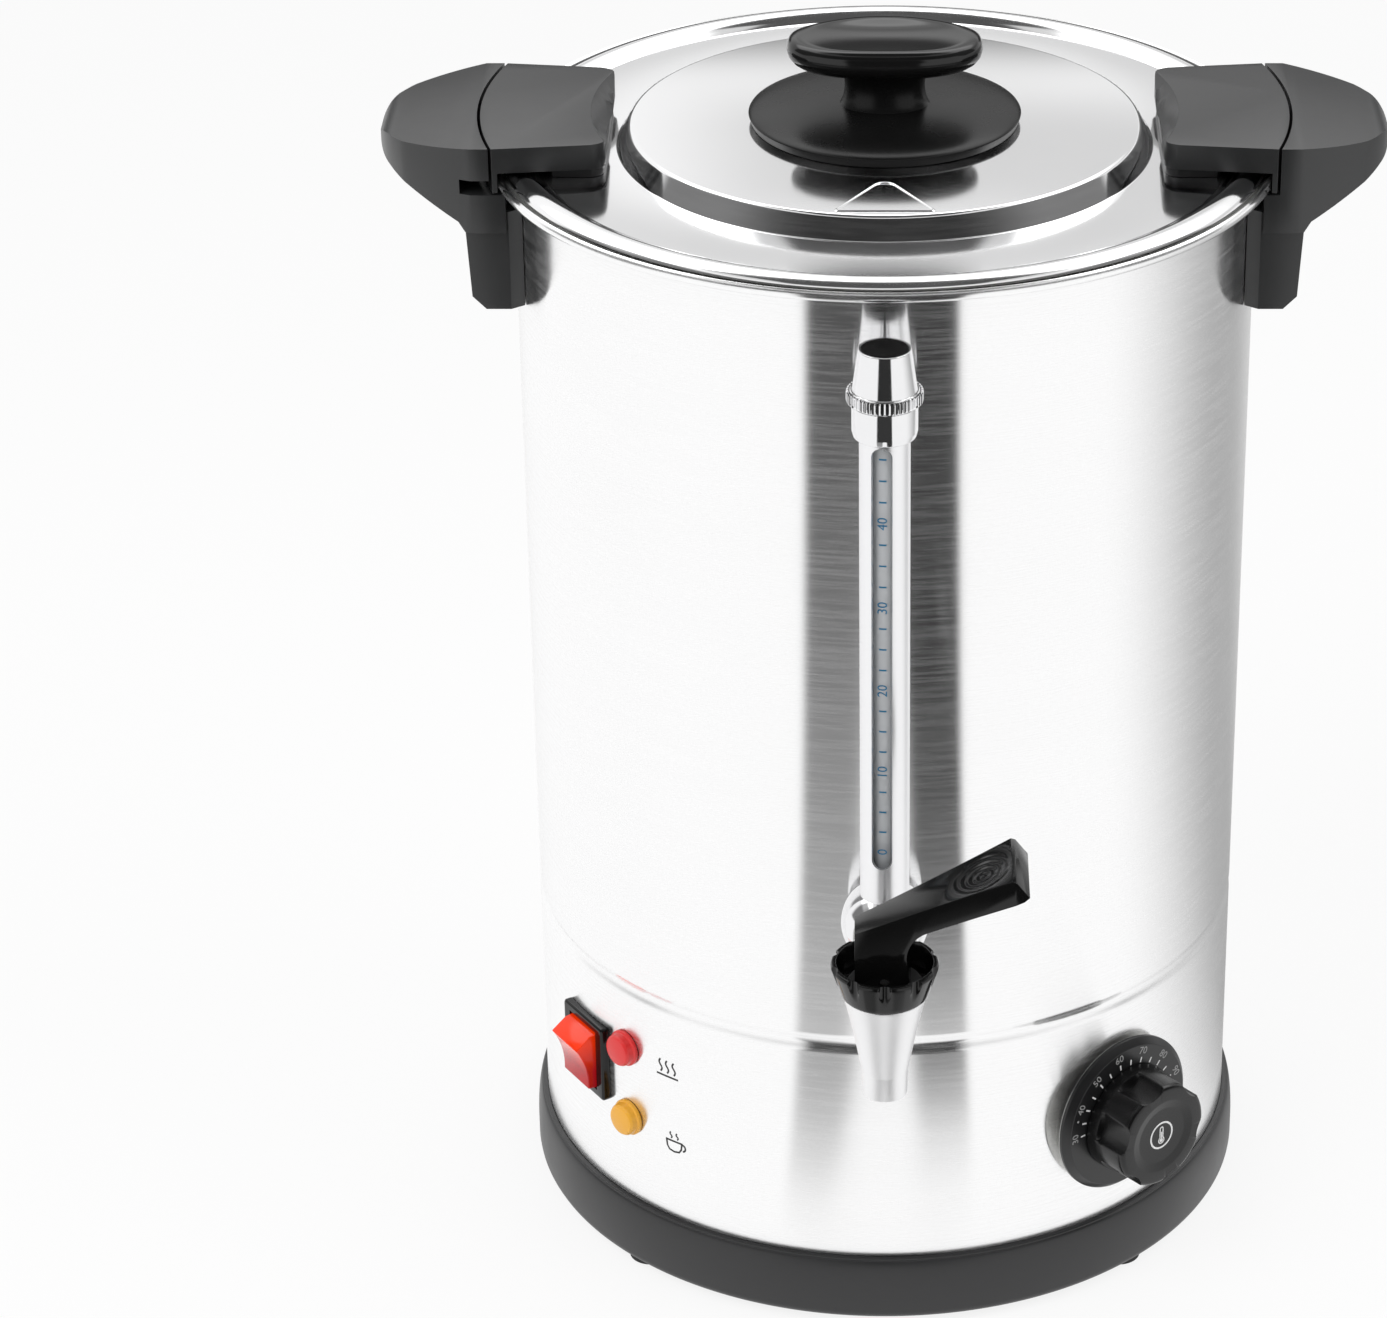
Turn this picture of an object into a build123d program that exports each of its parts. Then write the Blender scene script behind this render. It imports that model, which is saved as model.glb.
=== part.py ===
"""Eight-litre coffee urn with a twist-off lid, a sight gauge and a self-closing tap.

Frame: millimetres, origin at the centre of the circle of feet on the worktop,
+Z up, the tap on the -Y side (the front), +X to the right of someone facing it.
Angles named *_azimuth are measured round the urn from the front, positive to the right.
"""
import os
from math import asin, atan2, cos, degrees, radians, sin, tan

from build123d import *

os.makedirs("parts", exist_ok=True)

# ---------------------------------------------------------------- driving dimensions
joint_gap = 0.3            # clearance between pieces that move past each other
fit_gap = 0.15             # clearance between fixed pieces with curved faces

# body and rim
body_radius = 110.0
sheet = 0.8                # stainless sheet of the body, tank floor and lid
rim_height = 345.0         # centre of the rolled rim bead
rim_bead_radius = 1.6
rim_overhang = 5.5         # bead centre beyond the body
groove_height = 99.5
groove_width = 7.0
groove_depth = 1.0
bottom_flange = 9.0        # body sheet turned in under the base plate

# base
foot_height = 2.0
foot_radius = 7.0
foot_stem_radius = 2.5
foot_count = 4
ring_height = 21.5
ring_bulge = 3.4           # how far the base ring stands out from the body
ring_lip = 1.6             # stand-out at its top edge
ring_floor = 3.0           # thickness of its inner ledge
ring_ledge_width = 12.0    # inwards from the body
plate_thickness = 1.0
screw_inset = 6.0          # circle of the base screws and feet inside the body
base_screw_radius = 1.9
base_screw_head = 3.4
vent_count = 10
vent_radius = 3.0
vent_circle = 60.0

# tank floor and heater
floor_skirt = 10.5         # depth of the tank floor's turned-down edge
well_radius = 16.0
well_depth = 8.0
heater_thickness = 5.0
heater_outer_radius = 62.0
heater_inner_radius = 18.5
element_radius = 48.0      # circle of the heating element
element_tube = 3.4
element_sweep = 320.0
element_terminal = 20.0
cutout_radius = 8.0
cutout_height = 6.0
cutout_circle = 32.0
bulb_radius = 3.0
bulb_length = 70.0
bulb_offset = 66.5         # sideways from the centre, just clear of the heater plate
capillary_radius = 0.8

# percolator
tube_radius = 5.0
tube_wall = 0.8
tube_length = 222.0
bell_radius = 14.0
bell_height = 6.0
basket_radius = 78.0
basket_height = 68.0
basket_base_height = 222.0
basket_sheet = 0.8
basket_hole_radius = 1.6
cover_rise = 5.0
basket_sleeve_radius = 5.4
basket_bead = 1.0
basket_ring_radii = [18.0, 30.0, 42.0, 54.0, 66.0]
basket_ring_counts = [8, 12, 18, 22, 28]
cover_ring_radii = [22.0, 50.0]
cover_ring_counts = [8, 16]

# tap
tap_height = 149.0         # axis of the shank
arm_length = 49.4          # from the gauge's axis to the tap's axis
shank_radius = 5.4
shank_bore = 3.4
arm_radius = 6.5           # arm between gauge block and valve
shoulder_radius = 9.0
shoulder_thickness = 2.8
shank_inside = 10.5        # length of shank inside the tank, past the wall
spout_top_rise = 6.6       # above the shank's axis
spout_top_radius = 12.0
spout_neck_drop = 18.5     # below the shank's axis
spout_neck_radius = 6.7
spout_tip_drop = 26.5
spout_tip_radius = 6.4
spout_bore = 4.8
chamber_radius = 8.0
seat_drop = 12.0           # valve seat below the shank's axis
collar_rise = 2.8          # threaded collar inside the bonnet, above the spout's top
collar_radius = 10.3
bonnet_height = 10.0
bonnet_top_radius = 15.4
bonnet_bottom_radius = 12.5
bonnet_floor = 2.2
bonnet_cavity_bottom = 11.3
bonnet_cavity_top = 13.8
bonnet_notches = 10
notch_radius = 1.7
seal_thickness = 1.2
seal_radius = 10.5
inner_seal_depth = 1.7     # outer face of the washer inside the tank, from the body's outside
nut_thickness = 5.0
nut_across_flats = 19.0
cam_radius = 10.2
cam_thickness = 1.2
stem_radius = 2.5
cup_radius = 7.4
cup_lift = 1.0             # rest height of the seat cup over its seat
cup_tall = 6.0
spring_radius = 5.4
spring_wire = 0.6
spring_turns = 5
pin_radius = 1.5
pin_rise = 3.6             # pivot of the lever above the collar
pin_length = 9.6
lever_heel = -8.5          # lever sizes run along X from the tap's axis
lever_toe = 7.4            # front corner of the web, which bears on the cam washer
lever_foot_gap = 0.25      # foot of the lever over the cam washer
lever_back_rise = 15.5     # lever heights run from its pivot
lever_end = 36.4
lever_end_rise = 37.3
lever_lip = 40.3
lever_lip_rise = 30.7
lever_heel_half_width = 5.0
lever_toe_half_width = 7.2
lever_end_half_width = 12.5
lever_under_rise = 19.3    # underside above the foot, where the paddle leaves the web
thumb_centre = 27.0
thumb_radius = 10.0
thumb_depth = 1.6

# gauge
gauge_stand = 11.6         # gauge's axis out from the body
gauge_block_gap = 1.7      # back of the block out from the body
gauge_block_depth = 18.2
gauge_block_radius = 12.9
gauge_block_back_radius = 11.0
gauge_block_front_radius = 9.8
gauge_port = 2.2
gauge_socket_rise = 6.7    # socket floor above the shank's axis
shield_foot_rise = 2.5     # foot of the shield above the socket floor
shield_radius = 7.2
shield_wall = 0.8
shield_head_radius = 9.3
shield_head_top = 316.2
shield_head_tall = 10.6
slot_width = 6.0
slot_low_end = 12.9        # lower end of the slot above the shield's foot
slot_high_end = 2.5        # upper end of the slot below the shield's head
slot_turn = -7.0           # the slot faces slightly to the left
glass_radius = 4.6
glass_wall = 1.4
gauge_seal_radius = 6.0
gauge_seal_height = 1.5
knurl_radius = 10.8
knurl_height = 3.9
knurl_teeth = 36
cap_bottom_radius = 9.1
cap_top_radius = 7.3
cap_tall = 16.0
cap_spigot_radius = 6.2
cap_spigot_length = 4.8
cap_disc_radius = 6.7
cap_disc_thickness = 0.9

# switch and lamps
switch_azimuth = -57.0
switch_height = 67.4
switch_width = 23.5
switch_tall = 26.0
bezel_thickness = 2.2
switch_body_width = 19.0
switch_body_tall = 23.0
switch_body_depth = 22.0
rocker_opening_width = 15.8
rocker_opening_tall = 21.0
rocker_opening_depth = 10.0
rocker_pivot_stand = 0.0   # pivot out from the body
rocker_tilt = 30.0         # full throw, half each way
rocker_width = 15.2
rocker_nose_out = 7.2      # rocker sizes run from its pivot
rocker_nose_up = 7.8
rocker_waist_out = 5.9
rocker_shoulder_out = 1.5
rocker_shoulder_up = 9.9
rocker_back_out = -3.5
rocker_back_up = 9.3
trunnion_radius = 1.2
trunnion_span = 17.6
blade_width = 6.3
blade_thickness = 0.8
blade_length = 8.0
lamp_radius = 5.3
lamp_out = 4.4             # front of the lens from the body
lamp_dome = 0.9
lamp_bezel_radius = 5.9
lamp_bezel_height = 1.2
lamp_body_radius = 4.5
lamp_body_depth = 16.0
lamp_nut_radius = 7.5
lamp_nut_height = 3.0
red_lamp_azimuth = -46.6
red_lamp_height = 77.6
amber_lamp_azimuth = -46.1
amber_lamp_height = 52.8

# thermostat
dial_azimuth = 40.6
dial_height = 60.4
dial_radius = 25.6
dial_edge = 1.2            # plain edge behind the bevel
dial_neck_radius = 20.0    # boss behind the plate, seated on the body
dial_bevel = 2.0
dial_stand = 4.8           # front of the dial plate from the body
knob_radius = 17.4
knob_depth = 15.7
knob_skirt = 4.2           # plain rim at the back of the knob, ahead of the flutes
knob_wall = 2.9
knob_hub_radius = 6.5
knob_web = 4.8             # solid front of the knob
knob_face_dish = 0.9
knob_face_dish_radius = 11.0
knob_lobes = 6
flute_radius = 9.0
flute_depth = 2.4
flute_first = 45.0
thermostat_shaft_radius = 3.0
thermostat_width = 34.0
thermostat_tall = 30.0
thermostat_deep = 22.0
thermostat_inset = 2.5     # front of the thermostat inside the body's outer face
bushing_radius = 4.3
bushing_length = 4.5
shaft_engagement = 8.5     # length of shaft inside the thermostat
shaft_reach = 8.6          # length of shaft beyond the dial's face
dial_screw_spacing = 28.0
dial_screw_radius = 1.45
dial_screw_head = 2.7

# handles, fixed part
handle_rise = 12.0         # top of the handles above the rim bead
handle_slope = 2.5         # fall of the grip's top towards its tip
handle_reach = 38.7        # tip of the handles out from the body
handle_tip_thickness = 9.5
handle_half_width = 35.5   # at the seam with the lid lug
handle_tip_half_width = 23.5
handle_tip_length = 8.5
seam_gap = 0.9             # between the grip and the lid's lug
bracket_depth = 12.0       # out from the body
bracket_drop = 38.5        # foot of the bracket below the rim bead
bracket_half_width = 34.0
grip_root_drop = 12.0      # underside of the grip at the body, below the rim bead
bracket_foot_depth = 10.8
bracket_corner = 4.0
handle_screw_spacing = 14.0
handle_screw_drop = 23.0
handle_screw_radius = 2.0
handle_screw_head = 4.0
handle_screw_length = 11.0
catch_slot_height = 4.4
catch_slot_depth = 8.0
catch_slot_start = -4.0    # closed end of the slot, along the handle's width

# lid
lid_rise = 0.9             # top of the lid's flat ring above the rim bead
lid_roll_width = 10.7      # from the lid's flat ring to its edge
lid_roll_rise = 2.6
lid_edge_inset = 1.3       # inside the circle of the rim bead
plateau_foot_radius = 79.0
plateau_top_radius = 75.5
plateau_rise = 6.8
lid_skirt_gap = 1.6        # between the skirt and the tank wall
lid_skirt_depth = 8.0
lid_seal_inset = 2.9       # inside the circle of the rim bead
lid_seal_thickness = 1.0
mark_side = 26.0           # embossed triangle in front of the knob
mark_tip_radius = 50.0
mark_rise = 0.5
base_disc_radius = 40.2
base_disc_edge = 2.4
base_disc_rise = 5.4
knob_stem_width = 27.0
knob_stem_depth = 21.0
knob_waist = 1.6
knob_top_width = 57.5
knob_top_depth = 36.0
knob_stem_tall = 12.25
knob_cap_tall = 9.2
knob_dish = 2.2
knob_screw_radius = 2.5
knob_screw_head = 5.0
knob_screw_reach = 9.0     # length of screw inside the knob

# lid lugs
lug_inner = 81.0
lug_half_width = 35.5
lug_inner_half_width = 30.0
lug_foot_gap = 3.5         # underside of the lugs above the lid's flat ring
lug_overhang = 1.9         # beyond the rim bead
lug_corner = 4.5           # radius of the lugs' inner corners
lug_lip = 1.5              # thickness of the lip outside the rim
lug_scoop_radius = 80.0
lug_scoop_depth = 5.5
lug_scoop_foot = 1.0       # depth of the scoop at the lug's underside
lug_screw_inset = 26.0     # from the lug's outer face
lug_screw_spacing = 28.0
lug_screw_radius = 1.8
lug_screw_head = 3.6
lug_screw_reach = 4.6      # length of screw inside the lug
clamp_inset = 0.6          # lower clamp piece inside the lug's outline
clamp_gap = 2.5            # between the clamp and the lid's roll

# cord entry at the back
gland_height = 45.0
gland_radius = 9.0
gland_thread_radius = 7.0
gland_bore = 3.6
gland_out = 13.0
gland_in = 12.0
gland_nut_height = 4.0

# mains connections inside the base
terminal_place = 38.0      # towards the back
terminal_width = 36.0
terminal_deep = 16.0
terminal_tall = 14.0

# ---------------------------------------------------------------- derived sizes
body_inside = body_radius - sheet
ring_bottom = foot_height
ring_top = ring_bottom + ring_height
ledge_top = ring_bottom + ring_floor
flange_top = ledge_top + sheet
plate_top = flange_top + plate_thickness
rim_bead_circle = body_radius + rim_overhang
rim_outside = rim_bead_circle + rim_bead_radius
screw_circle = body_radius - screw_inset
ring_ledge_radius = body_radius - ring_ledge_width
inner_seal_out = body_radius - inner_seal_depth
gauge_reach = body_radius + gauge_stand
gauge_block_back = body_radius + gauge_block_gap
gauge_block_front = gauge_block_back + gauge_block_depth
tap_reach = gauge_reach + arm_length
rocker_pivot_out = body_radius + rocker_pivot_stand
dial_face_out = body_radius + dial_stand
thermostat_front = body_radius - thermostat_inset
bushing_out = thermostat_front + bushing_length
shaft_back = thermostat_front - shaft_engagement
shaft_front = dial_face_out + shaft_reach
lid_edge_radius = rim_bead_circle - lid_edge_inset
lid_flat_radius = lid_edge_radius - lid_roll_width
lid_skirt_radius = body_inside - lid_skirt_gap
lid_seal_outer = rim_bead_circle - lid_seal_inset
lug_outer_radius = rim_outside + lug_overhang
lug_screw_out = lug_outer_radius - lug_screw_inset
clamp_outer = lid_flat_radius - clamp_gap
seam_radius = lug_outer_radius + seam_gap
handle_tip = body_radius + handle_reach
handle_tip_start = handle_tip - handle_tip_length
bracket_out = body_radius + bracket_depth
bracket_foot_out = body_radius + bracket_foot_depth
flange_level = rim_height + sheet / 2
floor_radius = body_inside - groove_depth - joint_gap
floor_top = groove_height + 1.0
floor_underside = floor_top - sheet
spout_top_height = tap_height + spout_top_rise
spout_neck_height = tap_height - spout_neck_drop
spout_tip_height = tap_height - spout_tip_drop
seat_height = tap_height - seat_drop
collar_height = spout_top_height + collar_rise
washer_bottom = collar_height + fit_gap
washer_top = washer_bottom + cam_thickness
cup_bottom = seat_height + cup_lift
cup_top = cup_bottom + cup_tall
pin_height = collar_height + pin_rise
lever_foot_height = washer_top + lever_foot_gap
lever_back_height = pin_height + lever_back_rise
lever_end_height = pin_height + lever_end_rise
lever_lip_height = pin_height + lever_lip_rise
gauge_socket_floor = tap_height + gauge_socket_rise
shield_foot = gauge_socket_floor + shield_foot_rise
shield_head_bottom = shield_head_top - shield_head_tall
slot_bottom = shield_foot + slot_low_end
slot_top = shield_head_bottom - slot_high_end
heater_top = floor_underside - fit_gap
heater_bottom = heater_top - heater_thickness
element_height = heater_bottom - element_tube - fit_gap
cap_base_height = shield_head_top + joint_gap
cap_top_height = cap_base_height + cap_tall
cap_disc_bottom = cap_top_height - cap_disc_thickness - 0.15
knurl_top = cap_base_height + knurl_height
bonnet_bottom = spout_top_height + joint_gap
bonnet_top = bonnet_bottom + bonnet_height
handle_top = rim_height + handle_rise
grip_root_height = rim_height - grip_root_drop
bracket_bottom = rim_height - bracket_drop
handle_screw_height = rim_height - handle_screw_drop
lid_flat_height = rim_height + lid_rise
lug_bottom = lid_flat_height + lug_foot_gap
plateau_top = lid_flat_height + plateau_rise
disc_base = plateau_top + fit_gap
ledge_height = rim_height - rim_bead_radius - joint_gap * 2
lip_bottom = ledge_height + joint_gap * 2
lip_inner_radius = lug_outer_radius - lug_lip


def wall_plane(azimuth, height, out):
    """Plane facing straight out of the urn, x to the right and y up for someone facing it."""
    turn = radians(azimuth)
    return Plane(
        origin=(out * sin(turn), -out * cos(turn), height),
        x_dir=(cos(turn), sin(turn), 0),
        z_dir=(sin(turn), -cos(turn), 0),
    )


def save(piece, label):
    """Label a finished piece and write it under its own name."""
    piece.part.label = label
    export_step(piece.part, f"parts/{label}.step")


def round_plane(azimuth, height, out):
    """Section plane of a piece turned about a line straight out of the urn, y outward."""
    turn = radians(azimuth)
    return Plane(
        origin=(out * sin(turn), -out * cos(turn), height),
        x_dir=(cos(turn), sin(turn), 0),
        z_dir=(0, 0, -1),
    )


def out_axis(azimuth, height):
    """Line straight out of the urn through the wall at this place."""
    turn = radians(azimuth)
    return Axis(origin=(0, 0, height), direction=(sin(turn), -cos(turn), 0))


def on_circle(radius, count, first=0.0):
    """Places at equal steps round the urn's axis."""
    return [
        (radius * cos(radians(first + 360 * i / count)), radius * sin(radians(first + 360 * i / count)))
        for i in range(count)
    ]


base_screw_places = on_circle(screw_circle, foot_count)
foot_places = on_circle(screw_circle, foot_count, 45)

# ---------------------------------------------------------------- body
groove_low = groove_height - groove_width / 2
groove_high = groove_height + groove_width / 2
with BuildPart() as drum:
    with BuildSketch(Plane.XZ):
        with BuildLine():
            Polyline(
                (body_radius, groove_low), (body_radius, ledge_top),
                (body_radius - bottom_flange, ledge_top), (body_radius - bottom_flange, flange_top),
                (body_inside, flange_top), (body_inside, groove_low),
            )
            ThreePointArc(
                (body_inside, groove_low), (body_inside - groove_depth, groove_height),
                (body_inside, groove_high),
            )
            Polyline(
                (body_inside, groove_high), (body_inside, flange_level), (rim_bead_circle, flange_level),
                (rim_bead_circle, flange_level - sheet), (body_radius, flange_level - sheet),
                (body_radius, groove_high),
            )
            ThreePointArc(
                (body_radius, groove_high), (body_radius - groove_depth, groove_height),
                (body_radius, groove_low),
            )
        make_face()
        with Locations((rim_bead_circle, rim_height)):
            Circle(rim_bead_radius)
    revolve(axis=Axis.Z)
    with BuildSketch(wall_plane(0, tap_height, body_radius + 5)):
        Circle(shank_radius + fit_gap)
    extrude(amount=-12, mode=Mode.SUBTRACT)
    with BuildSketch(wall_plane(180, gland_height, body_radius + 5)):
        Circle(gland_thread_radius + fit_gap)
    extrude(amount=-12, mode=Mode.SUBTRACT)
    with BuildSketch(wall_plane(switch_azimuth, switch_height, body_radius + 5)):
        Rectangle(switch_body_width + 2 * fit_gap, switch_body_tall + 2 * fit_gap)
    extrude(amount=-12, mode=Mode.SUBTRACT)
    with BuildSketch(
        wall_plane(red_lamp_azimuth, red_lamp_height, body_radius + 5),
        wall_plane(amber_lamp_azimuth, amber_lamp_height, body_radius + 5),
    ):
        Circle(lamp_body_radius + fit_gap)
    extrude(amount=-12, mode=Mode.SUBTRACT)
    with BuildSketch(wall_plane(dial_azimuth, dial_height, body_radius + 5)):
        Circle(bushing_radius + fit_gap)
        with GridLocations(dial_screw_spacing, 1, 2, 1):
            Circle(dial_screw_radius + fit_gap)
    extrude(amount=-12, mode=Mode.SUBTRACT)
    with BuildSketch(
        wall_plane(90, handle_screw_height, body_radius + 5),
        wall_plane(-90, handle_screw_height, body_radius + 5),
    ):
        with GridLocations(1, handle_screw_spacing, 1, 2):
            Circle(handle_screw_radius + fit_gap)
    extrude(amount=-12, mode=Mode.SUBTRACT)
    with BuildSketch(Plane.XY.offset(ledge_top - 1)):
        with Locations(*base_screw_places):
            Circle(base_screw_radius + fit_gap)
    extrude(amount=sheet + 2, mode=Mode.SUBTRACT)

with BuildPart() as body_shell:
    add(drum.part)
    split(bisect_by=Plane.XY.offset(groove_high), keep=Keep.TOP)
save(body_shell, "body_shell")

with BuildPart() as base_shell:
    add(drum.part)
    split(bisect_by=Plane.XY.offset(groove_high), keep=Keep.BOTTOM)
save(base_shell, "base_shell")

skirt_bottom = floor_top - floor_skirt
bend = 3.0
with BuildPart() as tank_floor:
    with BuildSketch(Plane.XZ):
        with BuildLine():
            Line((floor_radius, skirt_bottom), (floor_radius, floor_top - bend))
            RadiusArc((floor_radius, floor_top - bend), (floor_radius - bend, floor_top), -bend)
            Polyline(
                (floor_radius - bend, floor_top), (well_radius, floor_top),
                (well_radius, floor_top - well_depth), (0, floor_top - well_depth),
                (0, floor_underside - well_depth), (well_radius + sheet, floor_underside - well_depth),
                (well_radius + sheet, floor_underside), (floor_radius - bend, floor_underside),
            )
            RadiusArc(
                (floor_radius - bend, floor_underside), (floor_radius - sheet, floor_top - bend),
                bend - sheet,
            )
            Polyline(
                (floor_radius - sheet, floor_top - bend), (floor_radius - sheet, skirt_bottom),
                (floor_radius, skirt_bottom),
            )
        make_face()
    revolve(axis=Axis.Z)
save(tank_floor, "tank_floor")

# ---------------------------------------------------------------- heater under the tank floor
with BuildPart() as heater_plate:
    with BuildSketch(Plane.XY.offset(heater_bottom)):
        Circle(heater_outer_radius)
        Circle(heater_inner_radius, mode=Mode.SUBTRACT)
    extrude(amount=heater_thickness)
save(heater_plate, "heater_plate")

element_start = 90 + (360 - element_sweep) / 2
element_end = element_start + element_sweep
with BuildPart() as heating_element:
    with BuildSketch(
        Plane(
            origin=(0, 0, 0),
            x_dir=(cos(radians(element_start)), sin(radians(element_start)), 0),
            z_dir=(sin(radians(element_start)), -cos(radians(element_start)), 0),
        )
    ):
        with Locations((element_radius, element_height)):
            Circle(element_tube)
    revolve(axis=Axis.Z, revolution_arc=element_sweep)
    with BuildSketch(Plane.XY.offset(element_height - element_terminal)):
        for angle in (element_start, element_end):
            with Locations((element_radius * cos(radians(angle)), element_radius * sin(radians(angle)))):
                Circle(element_tube - 1.2)
    extrude(amount=element_terminal)
save(heating_element, "heating_element")

with BuildPart() as thermal_cutouts:
    with BuildSketch(Plane.XY.offset(heater_bottom - fit_gap - cutout_height)):
        with Locations(*on_circle(cutout_circle, 2)):
            Circle(cutout_radius)
    extrude(amount=cutout_height)
save(thermal_cutouts, "thermal_cutouts")

bulb_height = floor_underside - bulb_radius - joint_gap
with BuildPart() as thermostat_bulb:
    with BuildSketch(Plane(origin=(bulb_offset, -bulb_length / 2, bulb_height), z_dir=(0, 1, 0))):
        Circle(bulb_radius)
    extrude(amount=bulb_length)
    turn = radians(dial_azimuth)
    capillary_out = thermostat_front - thermostat_deep / 2
    with BuildLine() as capillary:
        FilletPolyline(
            (bulb_offset, -bulb_length / 2 + 1, bulb_height),
            (bulb_offset, -bulb_length / 2 - 14, bulb_height),
            (
                capillary_out * sin(turn), -capillary_out * cos(turn),
                dial_height + thermostat_tall / 2 + 12,
            ),
            (
                capillary_out * sin(turn), -capillary_out * cos(turn),
                dial_height + thermostat_tall / 2 + fit_gap,
            ),
            radius=4,
        )
    with BuildSketch(Plane(origin=capillary.line @ 0, z_dir=capillary.line % 0)):
        Circle(capillary_radius)
    sweep(path=capillary.line)
save(thermostat_bulb, "thermostat_bulb")

with BuildPart() as thermostat_body:
    with BuildSketch(wall_plane(dial_azimuth, dial_height, thermostat_front - thermostat_deep)):
        RectangleRounded(thermostat_width, thermostat_tall, 2)
    extrude(amount=thermostat_deep)
    with BuildSketch(wall_plane(dial_azimuth, dial_height, thermostat_front - 1)):
        Circle(bushing_radius)
    extrude(amount=bushing_out - thermostat_front + 1)
    with BuildSketch(wall_plane(dial_azimuth, dial_height, shaft_back - joint_gap)):
        Circle(thermostat_shaft_radius + 0.06)
    extrude(amount=bushing_out - shaft_back + 1, mode=Mode.SUBTRACT)
    with BuildSketch(wall_plane(dial_azimuth, dial_height, shaft_back)):
        with GridLocations(dial_screw_spacing, 1, 2, 1):
            Circle(dial_screw_radius + 0.05)
    extrude(amount=thermostat_front - shaft_back + 1, mode=Mode.SUBTRACT)
save(thermostat_body, "thermostat_body")

with BuildPart() as terminal_block:
    with BuildSketch(Plane.XY.offset(plate_top + fit_gap)):
        with Locations((0, terminal_place)):
            Rectangle(terminal_width, terminal_deep)
    extrude(amount=terminal_tall)
    with BuildSketch(Plane.XY.offset(plate_top + fit_gap + terminal_tall)):
        with Locations((0, terminal_place)):
            with GridLocations(terminal_width / 3, 1, 3, 1):
                Circle(terminal_deep / 3)
    extrude(amount=-terminal_tall / 2, mode=Mode.SUBTRACT)
save(terminal_block, "terminal_block")

# ---------------------------------------------------------------- base
ring_mid_radius = body_radius + ring_bulge
ring_top_radius = body_radius + ring_lip
with BuildPart() as base_ring:
    with BuildSketch(Plane.XZ):
        with BuildLine():
            Polyline(
                (body_radius + fit_gap, ledge_top - fit_gap), (ring_ledge_radius, ledge_top - fit_gap),
                (ring_ledge_radius, ring_bottom), (ring_mid_radius - 3, ring_bottom),
            )
            RadiusArc((ring_mid_radius - 3, ring_bottom), (ring_mid_radius, ring_bottom + 3), -3)
            Line((ring_mid_radius, ring_bottom + 3), (ring_mid_radius, ring_bottom + 9))
            ThreePointArc(
                (ring_mid_radius, ring_bottom + 9), (ring_mid_radius - 0.5, ring_bottom + 15),
                (ring_top_radius, ring_top),
            )
            Polyline(
                (ring_top_radius, ring_top), (body_radius + fit_gap, ring_top),
                (body_radius + fit_gap, ledge_top - fit_gap),
            )
        make_face()
    revolve(axis=Axis.Z)
    with BuildSketch(Plane.XY.offset(ring_bottom)):
        with Locations(*foot_places):
            Circle(foot_stem_radius + 0.05)
        with Locations(*base_screw_places):
            Circle(base_screw_radius + fit_gap)
    extrude(amount=ring_floor, mode=Mode.SUBTRACT)
    with BuildSketch(Plane.XY.offset(ring_bottom)):
        with Locations(*base_screw_places):
            Circle(base_screw_head + fit_gap)
    extrude(amount=ring_floor / 2, mode=Mode.SUBTRACT)
save(base_ring, "base_ring")

with BuildPart() as base_plate:
    with BuildSketch(Plane.XY.offset(flange_top + 0.05)):
        Circle(body_inside - joint_gap)
        with Locations(*on_circle(vent_circle, vent_count)):
            Circle(vent_radius, mode=Mode.SUBTRACT)
        with Locations(*base_screw_places):
            Circle(base_screw_radius + 0.05, mode=Mode.SUBTRACT)
    extrude(amount=plate_thickness)
save(base_plate, "base_plate")

with BuildPart() as base_screws:
    with BuildSketch(Plane.XY.offset(ring_bottom + joint_gap)):
        with Locations(*base_screw_places):
            Circle(base_screw_head)
    extrude(amount=ring_floor / 2 - joint_gap - 0.05)
    with BuildSketch(Plane.XY.offset(ring_bottom + ring_floor / 2 - 0.3)):
        with Locations(*base_screw_places):
            Circle(base_screw_radius)
    extrude(amount=plate_top + 3 - ring_bottom - ring_floor / 2)
save(base_screws, "base_screws")

with BuildPart() as rubber_feet:
    with BuildSketch(Plane.XY):
        with Locations(*foot_places):
            Circle(foot_radius)
    extrude(amount=foot_height - 0.05, taper=6)
    with BuildSketch(Plane.XY.offset(foot_height - 0.1)):
        with Locations(*foot_places):
            Circle(foot_stem_radius)
    extrude(amount=ring_floor - 0.2)
save(rubber_feet, "rubber_feet")

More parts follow.
